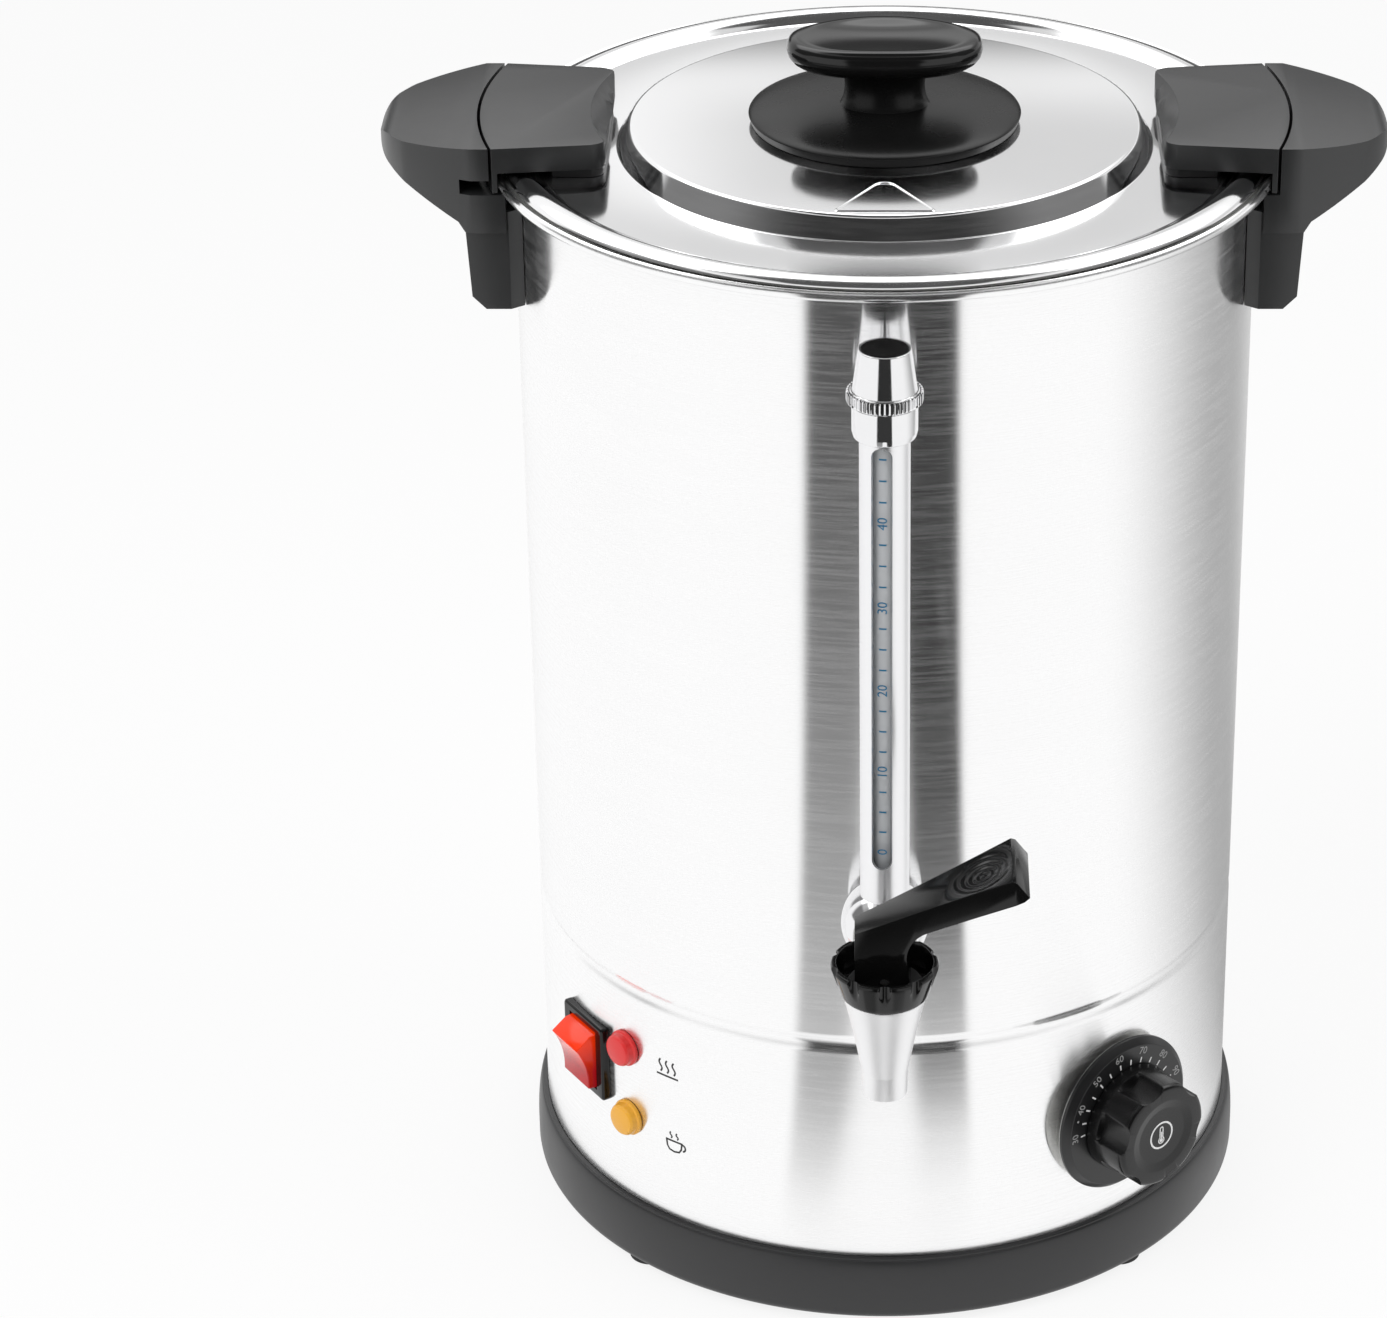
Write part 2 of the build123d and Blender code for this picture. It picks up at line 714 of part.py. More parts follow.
# ---------------------------------------------------------------- fixed handles
with BuildPart() as handle_right:
    with BuildSketch(Plane.XZ):
        with BuildLine():
            Polyline(
                (body_radius, grip_root_height), (body_radius, handle_top), (seam_radius, handle_top),
                (handle_tip - 5, handle_top - handle_slope),
            )
            ThreePointArc(
                (handle_tip - 5, handle_top - handle_slope),
                (handle_tip, handle_top - handle_slope - handle_tip_thickness / 2),
                (handle_tip - 3.5, handle_top - handle_slope - handle_tip_thickness),
            )
            Polyline(
                (handle_tip - 3.5, handle_top - handle_slope - handle_tip_thickness),
                (bracket_out + 2, grip_root_height + 0.9), (bracket_out, grip_root_height - 2),
                (body_radius, grip_root_height - 2), (body_radius, grip_root_height),
            )
        make_face()
    extrude(amount=handle_half_width + 1, both=True)
    with BuildSketch(Plane.XY.offset(grip_root_height - 5)):
        with BuildLine():
            Polyline(
                (seam_radius, handle_half_width), (body_radius - 10, handle_half_width),
                (body_radius - 10, -handle_half_width), (seam_radius, -handle_half_width),
            )
            ThreePointArc(
                (seam_radius, -handle_half_width),
                ((seam_radius + handle_tip_start) / 2 + 0.6,
                 -(handle_half_width + handle_tip_half_width) / 2 - 0.9),
                (handle_tip_start, -handle_tip_half_width),
            )
            ThreePointArc(
                (handle_tip_start, -handle_tip_half_width), (handle_tip, 0),
                (handle_tip_start, handle_tip_half_width),
            )
            ThreePointArc(
                (handle_tip_start, handle_tip_half_width),
                ((seam_radius + handle_tip_start) / 2 + 0.6,
                 (handle_half_width + handle_tip_half_width) / 2 + 0.9),
                (seam_radius, handle_half_width),
            )
        make_face()
    extrude(amount=40, mode=Mode.INTERSECT)
    with BuildSketch(Plane.XZ):
        with BuildLine():
            Polyline(
                (body_radius - 10, grip_root_height + 4), (bracket_out, grip_root_height + 4),
                (bracket_out, grip_root_height - 2), (bracket_foot_out, bracket_bottom + 4),
                (bracket_foot_out - bracket_corner, bracket_bottom), (body_radius - 10, bracket_bottom),
                (body_radius - 10, grip_root_height + 4),
            )
        make_face()
    extrude(amount=bracket_half_width, both=True)
    with BuildSketch(Plane.XY.offset(bracket_bottom - 5)):
        for side in (-1, 1):
            Polygon(
                (body_radius - 10, side * (bracket_half_width - 3)),
                (body_radius - 4.5, side * (bracket_half_width - 3)),
                (body_radius - 0.5, side * bracket_half_width),
                (body_radius - 0.5, side * (handle_half_width + 5)),
                (body_radius - 10, side * (handle_half_width + 5)),
                align=None,
            )
    extrude(amount=ledge_height - bracket_bottom + 5, mode=Mode.SUBTRACT)
    Cylinder(
        body_radius + fit_gap, ledge_height, align=(Align.CENTER, Align.CENTER, Align.MIN),
        mode=Mode.SUBTRACT,
    )
    with Locations((0, 0, ledge_height)):
        Cylinder(
            seam_radius, 2 * handle_rise, align=(Align.CENTER, Align.CENTER, Align.MIN), mode=Mode.SUBTRACT
        )
    with BuildSketch(Plane.XY.offset(ledge_height)):
        Circle(seam_radius + catch_slot_depth)
        with Locations((0, catch_slot_start - 2 * handle_tip)):
            Rectangle(4 * handle_tip, 4 * handle_tip, mode=Mode.SUBTRACT)
    extrude(amount=catch_slot_height, mode=Mode.SUBTRACT)
    with BuildSketch(wall_plane(90, handle_screw_height, body_radius - 1)):
        with GridLocations(1, handle_screw_spacing, 1, 2):
            Circle(handle_screw_radius + 0.05)
    extrude(amount=handle_screw_length, mode=Mode.SUBTRACT)
save(handle_right, "handle_right")

with BuildPart() as handle_left:
    add(handle_right.part.rotate(Axis.Z, 180))
save(handle_left, "handle_left")

with BuildPart() as handle_screws:
    for azimuth in (90, -90):
        with BuildSketch(wall_plane(azimuth, handle_screw_height, body_inside - joint_gap)):
            with GridLocations(1, handle_screw_spacing, 1, 2):
                Circle(handle_screw_head)
        extrude(amount=-2.4)
        with BuildSketch(wall_plane(azimuth, handle_screw_height, body_inside - 1)):
            with GridLocations(1, handle_screw_spacing, 1, 2):
                Circle(handle_screw_radius)
        extrude(amount=handle_screw_length - 1)
save(handle_screws, "handle_screws")

# ---------------------------------------------------------------- tap, fixed part
tap_axis = Axis(origin=(0, -tap_reach, 0), direction=(0, 0, 1))
tap_section = Plane(origin=(0, -tap_reach, 0), x_dir=(1, 0, 0), z_dir=(0, -1, 0))
shank_end = body_inside - shank_inside
shoulder_back = gauge_block_front + seal_thickness + 0.1


def valve_form(gap):
    """Outside of the valve body, turned about the tap's axis and grown by the gap."""
    with BuildPart() as form:
        with BuildSketch(tap_section):
            with BuildLine():
                Polyline(
                    (0, spout_tip_height), (spout_tip_radius + gap, spout_tip_height),
                    (spout_neck_radius + gap, spout_neck_height),
                )
                ThreePointArc(
                    (spout_neck_radius + gap, spout_neck_height),
                    ((spout_neck_radius + spout_top_radius) / 2 - 0.4 + gap,
                     (spout_neck_height + spout_top_height) / 2),
                    (spout_top_radius + gap, spout_top_height),
                )
                Polyline(
                    (spout_top_radius + gap, spout_top_height), (collar_radius, spout_top_height),
                    (collar_radius, collar_height), (0, collar_height), (0, spout_tip_height),
                )
            make_face()
        revolve(axis=tap_axis)
    return form


with BuildPart() as tap_body:
    add(valve_form(0).part)
    with BuildSketch(tap_section):
        Polygon(
            (0, spout_tip_height - 1), (spout_bore, spout_tip_height - 1), (spout_bore, seat_height),
            (chamber_radius, seat_height + 3), (chamber_radius, collar_height + 1),
            (0, collar_height + 1),
            align=None,
        )
    revolve(axis=tap_axis, mode=Mode.SUBTRACT)
    with BuildSketch(wall_plane(0, tap_height, gauge_reach)):
        Circle(shank_radius + 0.05)
    extrude(amount=tap_reach - gauge_reach, mode=Mode.SUBTRACT)
save(tap_body, "tap_body")

with BuildPart() as tap_shank:
    with BuildSketch(wall_plane(0, tap_height, shoulder_back)):
        Circle(arm_radius)
    extrude(amount=tap_reach - shoulder_back)
    with BuildSketch(wall_plane(0, tap_height, shoulder_back)):
        Circle(shoulder_radius)
    extrude(amount=shoulder_thickness)
    add(valve_form(fit_gap).part, mode=Mode.SUBTRACT)
    with BuildSketch(wall_plane(0, tap_height, shank_end)):
        Circle(shank_radius)
    extrude(amount=tap_reach - shank_end - chamber_radius)
    with BuildSketch(wall_plane(0, tap_height, shank_end - 1)):
        Circle(shank_bore)
    extrude(amount=tap_reach - shank_end + 1, mode=Mode.SUBTRACT)
    with BuildSketch(Plane.XY.offset(tap_height)):
        with Locations((0, -gauge_reach)):
            Circle(gauge_port)
    extrude(amount=shank_radius + 1, mode=Mode.SUBTRACT)
save(tap_shank, "tap_shank")

block_axis = Axis(origin=(0, 0, tap_height), direction=(0, -1, 0))
shield_seat = shield_foot - 0.3
with BuildPart() as gauge_block:
    with BuildSketch(Plane(origin=(0, 0, tap_height), x_dir=(0, -1, 0), z_dir=(1, 0, 0))):
        with BuildLine():
            Polyline(
                (gauge_block_back, gauge_block_back_radius), (gauge_block_back, shank_radius + fit_gap),
                (gauge_block_front, shank_radius + fit_gap),
                (gauge_block_front, gauge_block_front_radius),
            )
            ThreePointArc(
                (gauge_block_front, gauge_block_front_radius),
                (gauge_reach - 1, gauge_block_radius),
                (gauge_block_back, gauge_block_back_radius),
            )
        make_face()
    revolve(axis=block_axis)
    with BuildSketch(Plane.XY.offset(tap_height)):
        with Locations((0, -gauge_reach)):
            Circle(gauge_port)
    extrude(amount=gauge_block_radius, mode=Mode.SUBTRACT)
    with BuildSketch(Plane.XY.offset(gauge_socket_floor)):
        with Locations((0, -gauge_reach)):
            Circle(gauge_seal_radius + 0.2)
    extrude(amount=gauge_block_radius, mode=Mode.SUBTRACT)
    with BuildSketch(Plane.XY.offset(shield_seat)):
        with Locations((0, -gauge_reach)):
            Circle(shield_radius + 0.1)
    extrude(amount=gauge_block_radius, mode=Mode.SUBTRACT)
save(gauge_block, "gauge_block")

with BuildPart() as tap_seals:
    for out in (body_radius + 0.2, gauge_block_front + 0.05):
        with BuildSketch(wall_plane(0, tap_height, out)):
            Circle(seal_radius - 1.2)
            Circle(shank_radius + fit_gap, mode=Mode.SUBTRACT)
        extrude(amount=seal_thickness)
    with BuildSketch(wall_plane(0, tap_height, inner_seal_out)):
        Circle(seal_radius)
        Circle(shank_radius + fit_gap, mode=Mode.SUBTRACT)
    extrude(amount=-2)
save(tap_seals, "tap_seals")

with BuildPart() as tap_nut:
    with BuildSketch(wall_plane(0, tap_height, inner_seal_out - 2.2)):
        RegularPolygon(nut_across_flats / 2, 6, major_radius=False)
        Circle(shank_radius + 0.05, mode=Mode.SUBTRACT)
    extrude(amount=-nut_thickness)
save(tap_nut, "tap_nut")

with BuildPart() as tap_bonnet:
    with BuildSketch(tap_section):
        with BuildLine():
            Polyline(
                (collar_radius + fit_gap, bonnet_bottom), (bonnet_bottom_radius, bonnet_bottom),
                (bonnet_top_radius, bonnet_top - 1.5),
            )
            RadiusArc((bonnet_top_radius, bonnet_top - 1.5), (bonnet_top_radius - 1.2, bonnet_top), -1.4)
            Polyline(
                (bonnet_top_radius - 1.2, bonnet_top), (bonnet_cavity_top, bonnet_top),
                (bonnet_cavity_bottom, bonnet_bottom + bonnet_floor),
                (collar_radius + fit_gap, bonnet_bottom + bonnet_floor),
                (collar_radius + fit_gap, bonnet_bottom),
            )
        make_face()
    revolve(axis=tap_axis)
    with BuildSketch(Plane.XY.offset(bonnet_bottom - 1)):
        with Locations((0, -tap_reach)):
            with PolarLocations(bonnet_top_radius + 0.9, bonnet_notches, 18):
                Circle(notch_radius)
    extrude(amount=bonnet_height + 2, mode=Mode.SUBTRACT)
save(tap_bonnet, "tap_bonnet")

# ---------------------------------------------------------------- tap, moving part
with BuildPart() as tap_cam_washer:
    with BuildSketch(Plane.XY.offset(washer_bottom)):
        with Locations((0, -tap_reach)):
            Circle(cam_radius)
            Circle(stem_radius + 0.08, mode=Mode.SUBTRACT)
    extrude(amount=cam_thickness)
save(tap_cam_washer, "tap_cam_washer")

stem_bottom = cup_bottom + 2.5
with BuildPart() as tap_stem:
    with BuildSketch(Plane.XY.offset(stem_bottom)):
        with Locations((0, -tap_reach)):
            Circle(stem_radius)
    extrude(amount=pin_height + 2.4 - stem_bottom)
    with BuildSketch(Plane(origin=(0, -tap_reach, pin_height), x_dir=(1, 0, 0), z_dir=(0, -1, 0))):
        Circle(pin_radius + 0.02)
    extrude(amount=stem_radius + 1, both=True, mode=Mode.SUBTRACT)
save(tap_stem, "tap_stem")

with BuildPart() as tap_seat_cup:
    with BuildSketch(tap_section):
        Polygon(
            (0, cup_bottom), (cup_radius - 2.0, cup_bottom), (cup_radius, cup_bottom + 1.9),
            (cup_radius, cup_top), (stem_radius + 0.05, cup_top), (stem_radius + 0.05, stem_bottom - 0.05),
            (0, stem_bottom - 0.05),
            align=None,
        )
    revolve(axis=tap_axis)
save(tap_seat_cup, "tap_seat_cup")

spring_bottom = cup_top + spring_wire + 0.1
spring_height = washer_bottom - spring_wire - 0.1 - spring_bottom
with BuildPart() as tap_spring:
    with BuildLine():
        coil = Helix(
            pitch=spring_height / spring_turns, height=spring_height, radius=spring_radius,
            center=(0, -tap_reach, spring_bottom),
        )
    with BuildSketch(Plane(origin=coil @ 0, z_dir=coil % 0)):
        Circle(spring_wire)
    sweep(path=coil, is_frenet=True)
save(tap_spring, "tap_spring")

with BuildPart() as lever_pin:
    with BuildSketch(Plane(origin=(0, -tap_reach, pin_height), x_dir=(1, 0, 0), z_dir=(0, -1, 0))):
        Circle(pin_radius)
    extrude(amount=pin_length / 2, both=True)
save(lever_pin, "lever_pin")

thumb_ball = (thumb_radius ** 2 + thumb_depth ** 2) / (2 * thumb_depth)
lever_rise = atan2(lever_end_height - lever_back_height, lever_end - lever_heel)
thumb_height = lever_back_height + (thumb_centre - lever_heel) * tan(lever_rise)
with BuildPart() as tap_lever:
    with BuildSketch(tap_section):
        with BuildLine():
            Polyline(
                (lever_heel, lever_back_height), (lever_heel, lever_foot_height),
                (lever_toe, lever_foot_height), (lever_toe - 1.2, lever_foot_height + 9),
            )
            ThreePointArc(
                (lever_toe - 1.2, lever_foot_height + 9),
                (lever_toe, lever_foot_height + lever_under_rise - 4),
                (lever_toe + 4, lever_foot_height + lever_under_rise),
            )
            Polyline(
                (lever_toe + 4, lever_foot_height + lever_under_rise),
                (lever_lip - 1.5, lever_lip_height - 0.4),
                (lever_lip, lever_lip_height + 1), (lever_end + 0.3, lever_end_height - 1),
                (lever_end - 1, lever_end_height - 0.5), (lever_heel, lever_back_height),
            )
        make_face()
    extrude(amount=lever_end_half_width + 1, both=True)
    with BuildSketch(Plane.XY.offset(lever_foot_height - 1)):
        with BuildLine():
            Polyline(
                (lever_heel, -tap_reach + lever_heel_half_width),
                (lever_heel, -tap_reach - lever_heel_half_width),
            )
            ThreePointArc(
                (lever_heel, -tap_reach - lever_heel_half_width),
                (lever_toe, -tap_reach - lever_toe_half_width),
                (lever_end, -tap_reach - lever_end_half_width),
            )
            Polyline(
                (lever_end, -tap_reach - lever_end_half_width),
                (lever_lip + 1, -tap_reach - lever_end_half_width),
                (lever_lip + 1, -tap_reach + lever_end_half_width),
                (lever_end, -tap_reach + lever_end_half_width),
            )
            ThreePointArc(
                (lever_end, -tap_reach + lever_end_half_width),
                (lever_toe, -tap_reach + lever_toe_half_width),
                (lever_heel, -tap_reach + lever_heel_half_width),
            )
        make_face()
    extrude(amount=lever_end_height, mode=Mode.INTERSECT)
    thumb_place = (thumb_centre, -tap_reach, thumb_height)
    with BuildSketch(
        Plane(origin=thumb_place, x_dir=(cos(lever_rise), 0, sin(lever_rise)), z_dir=(0, -1, 0))
    ):
        with BuildLine():
            CenterArc(
                (0, thumb_ball - thumb_depth), thumb_ball, -90, degrees(asin(thumb_radius / thumb_ball))
            )
            Polyline((thumb_radius, 0), (thumb_radius + 0.6, 1), (0, 1), (0, -thumb_depth))
        make_face()
    revolve(
        axis=Axis(origin=thumb_place, direction=(-sin(lever_rise), 0, cos(lever_rise))),
        mode=Mode.SUBTRACT,
    )
    with Locations((0, -tap_reach, lever_foot_height - 1)):
        Box(
            9, 2 * stem_radius + 2 * joint_gap, pin_height + 4 - lever_foot_height + 1,
            align=(Align.CENTER, Align.CENTER, Align.MIN), mode=Mode.SUBTRACT,
        )
    with BuildSketch(Plane(origin=(0, -tap_reach, pin_height), x_dir=(1, 0, 0), z_dir=(0, -1, 0))):
        Circle(pin_radius + 0.05)
    extrude(amount=lever_end_half_width, both=True, mode=Mode.SUBTRACT)
save(tap_lever, "tap_lever")

# ---------------------------------------------------------------- gauge
gauge_axis = Axis(origin=(0, -gauge_reach, 0), direction=(0, 0, 1))
gauge_section = Plane(origin=(0, -gauge_reach, 0), x_dir=(1, 0, 0), z_dir=(0, -1, 0))
glass_bottom = gauge_socket_floor + gauge_seal_height + 0.2
glass_top = shield_head_top - cap_spigot_length - gauge_seal_height - 0.4
with BuildPart() as gauge_shield:
    with BuildSketch(gauge_section):
        Polygon(
            (shield_radius - shield_wall, shield_foot), (shield_radius, shield_foot),
            (shield_radius, shield_head_bottom), (shield_head_radius - 0.5, shield_head_bottom + 0.6),
            (shield_head_radius, shield_head_bottom + 2), (shield_head_radius, shield_head_top - 0.4),
            (shield_head_radius - 0.4, shield_head_top), (shield_radius - shield_wall, shield_head_top),
            align=None,
        )
    revolve(axis=gauge_axis)
    turn = radians(slot_turn)
    with BuildSketch(
        Plane(
            origin=(10 * sin(turn), -gauge_reach - 10 * cos(turn), (slot_bottom + slot_top) / 2),
            x_dir=(0, 0, 1),
            z_dir=(sin(turn), -cos(turn), 0),
        )
    ):
        SlotOverall(slot_top - slot_bottom, slot_width)
    extrude(amount=-10, mode=Mode.SUBTRACT)
save(gauge_shield, "gauge_shield")

with BuildPart() as gauge_glass:
    with BuildSketch(Plane.XY.offset(glass_bottom)):
        with Locations((0, -gauge_reach)):
            Circle(glass_radius)
            Circle(glass_radius - glass_wall, mode=Mode.SUBTRACT)
    extrude(amount=glass_top - glass_bottom)
save(gauge_glass, "gauge_glass")

with BuildPart() as gauge_seals:
    for bottom in (gauge_socket_floor + 0.1, glass_top + 0.1):
        with BuildSketch(Plane.XY.offset(bottom)):
            with Locations((0, -gauge_reach)):
                Circle(gauge_seal_radius)
                Circle(glass_radius - glass_wall + 0.1, mode=Mode.SUBTRACT)
        extrude(amount=gauge_seal_height)
save(gauge_seals, "gauge_seals")

with BuildPart() as gauge_cap:
    with BuildSketch(gauge_section):
        Polygon(
            (0, cap_base_height - cap_spigot_length),
            (cap_spigot_radius, cap_base_height - cap_spigot_length),
            (cap_spigot_radius, cap_base_height), (knurl_radius - 0.4, cap_base_height),
            (knurl_radius, cap_base_height + 0.5), (knurl_radius, knurl_top - 0.5),
            (knurl_radius - 0.5, knurl_top), (cap_bottom_radius, knurl_top),
            (cap_top_radius + 0.2, cap_top_height - 0.5), (cap_top_radius - 0.2, cap_top_height),
            (cap_disc_radius + 0.1, cap_top_height), (cap_disc_radius + 0.1, cap_disc_bottom),
            (0, cap_disc_bottom),
            align=None,
        )
    revolve(axis=gauge_axis)
    with BuildSketch(Plane.XY.offset(cap_base_height)):
        with Locations((0, -gauge_reach)):
            with PolarLocations(knurl_radius + 0.15, knurl_teeth):
                Circle(0.6)
    extrude(amount=knurl_height, mode=Mode.SUBTRACT)
save(gauge_cap, "gauge_cap")

with BuildPart() as gauge_cap_disc:
    with BuildSketch(Plane.XY.offset(cap_disc_bottom + 0.05)):
        with Locations((0, -gauge_reach)):
            Circle(cap_disc_radius)
    extrude(amount=cap_disc_thickness)
save(gauge_cap_disc, "gauge_cap_disc")

# ---------------------------------------------------------------- switch
bezel_front = body_radius + bezel_thickness
with BuildPart() as switch_housing:
    with BuildSketch(wall_plane(switch_azimuth, switch_height, bezel_front)):
        RectangleRounded(switch_width, switch_tall, 1.2)
    extrude(amount=-bezel_thickness - 3)
    chamfer(switch_housing.faces().filter_by(GeomType.PLANE).sort_by(
        Axis(origin=(0, 0, 0), direction=wall_plane(switch_azimuth, 0, 1).z_dir))[-1].edges(), 0.6)
    Cylinder(
        body_radius + fit_gap, rim_height, align=(Align.CENTER, Align.CENTER, Align.MIN),
        mode=Mode.SUBTRACT,
    )
    with BuildSketch(wall_plane(switch_azimuth, switch_height, body_radius + 1)):
        Rectangle(switch_body_width, switch_body_tall)
    extrude(amount=-switch_body_depth)
    with BuildSketch(wall_plane(switch_azimuth, switch_height, bezel_front)):
        Rectangle(rocker_opening_width, rocker_opening_tall)
    extrude(amount=-rocker_opening_depth, mode=Mode.SUBTRACT)
    with BuildSketch(
        wall_plane(switch_azimuth, switch_height, body_radius + 1 - switch_body_depth)
    ):
        with GridLocations(1, switch_body_tall / 3.2, 1, 3):
            Rectangle(blade_width, blade_thickness)
    extrude(amount=-blade_length)
    turn = radians(switch_azimuth)
    rocker_pivot = (
        rocker_pivot_out * sin(turn), -rocker_pivot_out * cos(turn), switch_height
    )
    with BuildSketch(
        Plane(origin=rocker_pivot, x_dir=(0, 0, 1), z_dir=(cos(turn), sin(turn), 0))
    ):
        Circle(trunnion_radius + 0.05)
    extrude(amount=trunnion_span / 2 + 0.1, both=True, mode=Mode.SUBTRACT)
save(switch_housing, "switch_housing")

tilt = radians(rocker_tilt / 2)
with BuildPart() as rocker:
    with BuildSketch(
        Plane(
            origin=rocker_pivot,
            x_dir=(cos(tilt) * sin(turn), -cos(tilt) * cos(turn), -sin(tilt)),
            z_dir=(-cos(turn), -sin(turn), 0),
        )
    ):
        with BuildLine():
            Polyline(
                (rocker_nose_out, -rocker_nose_up), (rocker_shoulder_out, -rocker_shoulder_up),
                (rocker_back_out, -rocker_back_up), (rocker_back_out, rocker_back_up),
                (rocker_shoulder_out, rocker_shoulder_up), (rocker_nose_out, rocker_nose_up),
            )
            ThreePointArc(
                (rocker_nose_out, rocker_nose_up), (rocker_waist_out, 0),
                (rocker_nose_out, -rocker_nose_up),
            )
        make_face()
    extrude(amount=rocker_width / 2, both=True)
    with BuildSketch(
        Plane(origin=rocker_pivot, x_dir=(0, 0, 1), z_dir=(cos(turn), sin(turn), 0))
    ):
        Circle(trunnion_radius)
    extrude(amount=trunnion_span / 2, both=True)
save(rocker, "rocker")

# ---------------------------------------------------------------- lamps
dome_ball = ((lamp_radius - 0.8) ** 2 + lamp_dome ** 2) / (2 * lamp_dome)


def lamp(azimuth, height):
    """One indicator lamp with its lens, bezel and body."""
    with BuildPart() as piece:
        with BuildSketch(round_plane(azimuth, height, 0)):
            with BuildLine():
                Polyline(
                    (0, body_radius + lamp_out), (0, body_radius - lamp_body_depth),
                    (lamp_body_radius, body_radius - lamp_body_depth),
                    (lamp_body_radius, body_radius + fit_gap), (lamp_bezel_radius, body_radius + fit_gap),
                    (lamp_bezel_radius, body_radius + lamp_bezel_height),
                    (lamp_radius, body_radius + lamp_bezel_height + 0.3),
                    (lamp_radius - 0.2, body_radius + lamp_out - lamp_dome - 0.6),
                    (lamp_radius - 0.8, body_radius + lamp_out - lamp_dome),
                )
                CenterArc(
                    (0, body_radius + lamp_out - dome_ball), dome_ball,
                    90 - degrees(asin((lamp_radius - 0.8) / dome_ball)),
                    degrees(asin((lamp_radius - 0.8) / dome_ball)),
                )
            make_face()
        revolve(axis=out_axis(azimuth, height))
    return piece


lamp_red = lamp(red_lamp_azimuth, red_lamp_height)
save(lamp_red, "lamp_red")
lamp_amber = lamp(amber_lamp_azimuth, amber_lamp_height)
save(lamp_amber, "lamp_amber")

with BuildPart() as lamp_nuts:
    for azimuth, height in (
        (red_lamp_azimuth, red_lamp_height), (amber_lamp_azimuth, amber_lamp_height)
    ):
        with BuildSketch(wall_plane(azimuth, height, body_inside - 0.6)):
            Circle(lamp_nut_radius)
            Circle(lamp_body_radius + 0.05, mode=Mode.SUBTRACT)
        extrude(amount=-lamp_nut_height)
save(lamp_nuts, "lamp_nuts")

# ---------------------------------------------------------------- thermostat dial
with BuildPart() as dial_plate:
    with BuildSketch(wall_plane(dial_azimuth, dial_height, dial_face_out - dial_bevel)):
        Circle(dial_radius)
    extrude(amount=-dial_edge)
    with BuildSketch(wall_plane(dial_azimuth, dial_height, dial_face_out - dial_bevel)):
        Circle(dial_neck_radius)
    extrude(amount=-9)
    with BuildSketch(wall_plane(dial_azimuth, dial_height, dial_face_out - dial_bevel)):
        Circle(dial_radius)
    extrude(amount=dial_bevel, taper=45)
    Cylinder(
        body_radius + fit_gap, rim_height, align=(Align.CENTER, Align.CENTER, Align.MIN),
        mode=Mode.SUBTRACT,
    )
    with BuildSketch(wall_plane(dial_azimuth, dial_height, dial_face_out)):
        Circle(bushing_radius + fit_gap)
        with GridLocations(dial_screw_spacing, 1, 2, 1):
            Circle(dial_screw_radius + fit_gap)
    extrude(amount=-12, mode=Mode.SUBTRACT)
    with BuildSketch(wall_plane(dial_azimuth, dial_height, dial_face_out)):
        with GridLocations(dial_screw_spacing, 1, 2, 1):
            Circle(dial_screw_head + fit_gap)
    extrude(amount=-2.2, mode=Mode.SUBTRACT)
save(dial_plate, "dial_plate")

with BuildPart() as dial_screws:
    with BuildSketch(wall_plane(dial_azimuth, dial_height, dial_face_out - 2.15)):
        with GridLocations(dial_screw_spacing, 1, 2, 1):
            Circle(dial_screw_head)
    extrude(amount=1.9)
    with BuildSketch(wall_plane(dial_azimuth, dial_height, dial_face_out - 1.5)):
        with GridLocations(dial_screw_spacing, 1, 2, 1):
            Circle(dial_screw_radius)
    extrude(amount=-13)
save(dial_screws, "dial_screws")

knob_back = dial_face_out + joint_gap
knob_front = knob_back + knob_depth
dish_ball = (knob_face_dish_radius ** 2 + knob_face_dish ** 2) / (2 * knob_face_dish)
with BuildPart() as thermostat_knob:
    with BuildSketch(round_plane(dial_azimuth, dial_height, 0)):
        with BuildLine():
            Polyline(
                (thermostat_shaft_radius + 0.05, knob_back), (knob_hub_radius, knob_back),
                (knob_hub_radius, knob_front - knob_web),
                (knob_radius - knob_wall - 1.5, knob_front - knob_web),
                (knob_radius - knob_wall, knob_back + knob_skirt),
                (knob_radius - 1.6, knob_back), (knob_radius, knob_back),
                (knob_radius - 0.4, knob_front - 1.6),
            )
            RadiusArc(
                (knob_radius - 0.4, knob_front - 1.6), (knob_radius - 2, knob_front), -1.6
            )
            Polyline(
                (knob_radius - 2, knob_front), (0, knob_front), (0, shaft_front + 0.1),
                (thermostat_shaft_radius + 0.05, shaft_front + 0.1),
                (thermostat_shaft_radius + 0.05, knob_back),
            )
        make_face()
    revolve(axis=out_axis(dial_azimuth, dial_height))
    with BuildSketch(wall_plane(dial_azimuth, dial_height, knob_back + knob_skirt)):
        with PolarLocations(knob_radius - flute_depth + flute_radius, knob_lobes, flute_first):
            Circle(flute_radius)
    extrude(amount=knob_depth, mode=Mode.SUBTRACT)
    ball_out = knob_front - knob_face_dish + dish_ball
    with Locations(
        (
            ball_out * sin(radians(dial_azimuth)), -ball_out * cos(radians(dial_azimuth)),
            dial_height,
        )
    ):
        Sphere(dish_ball, mode=Mode.SUBTRACT)
save(thermostat_knob, "thermostat_knob")

with BuildPart() as thermostat_shaft:
    with BuildSketch(wall_plane(dial_azimuth, dial_height, shaft_back)):
        Circle(thermostat_shaft_radius)
    extrude(amount=shaft_front - shaft_back)
save(thermostat_shaft, "thermostat_shaft")

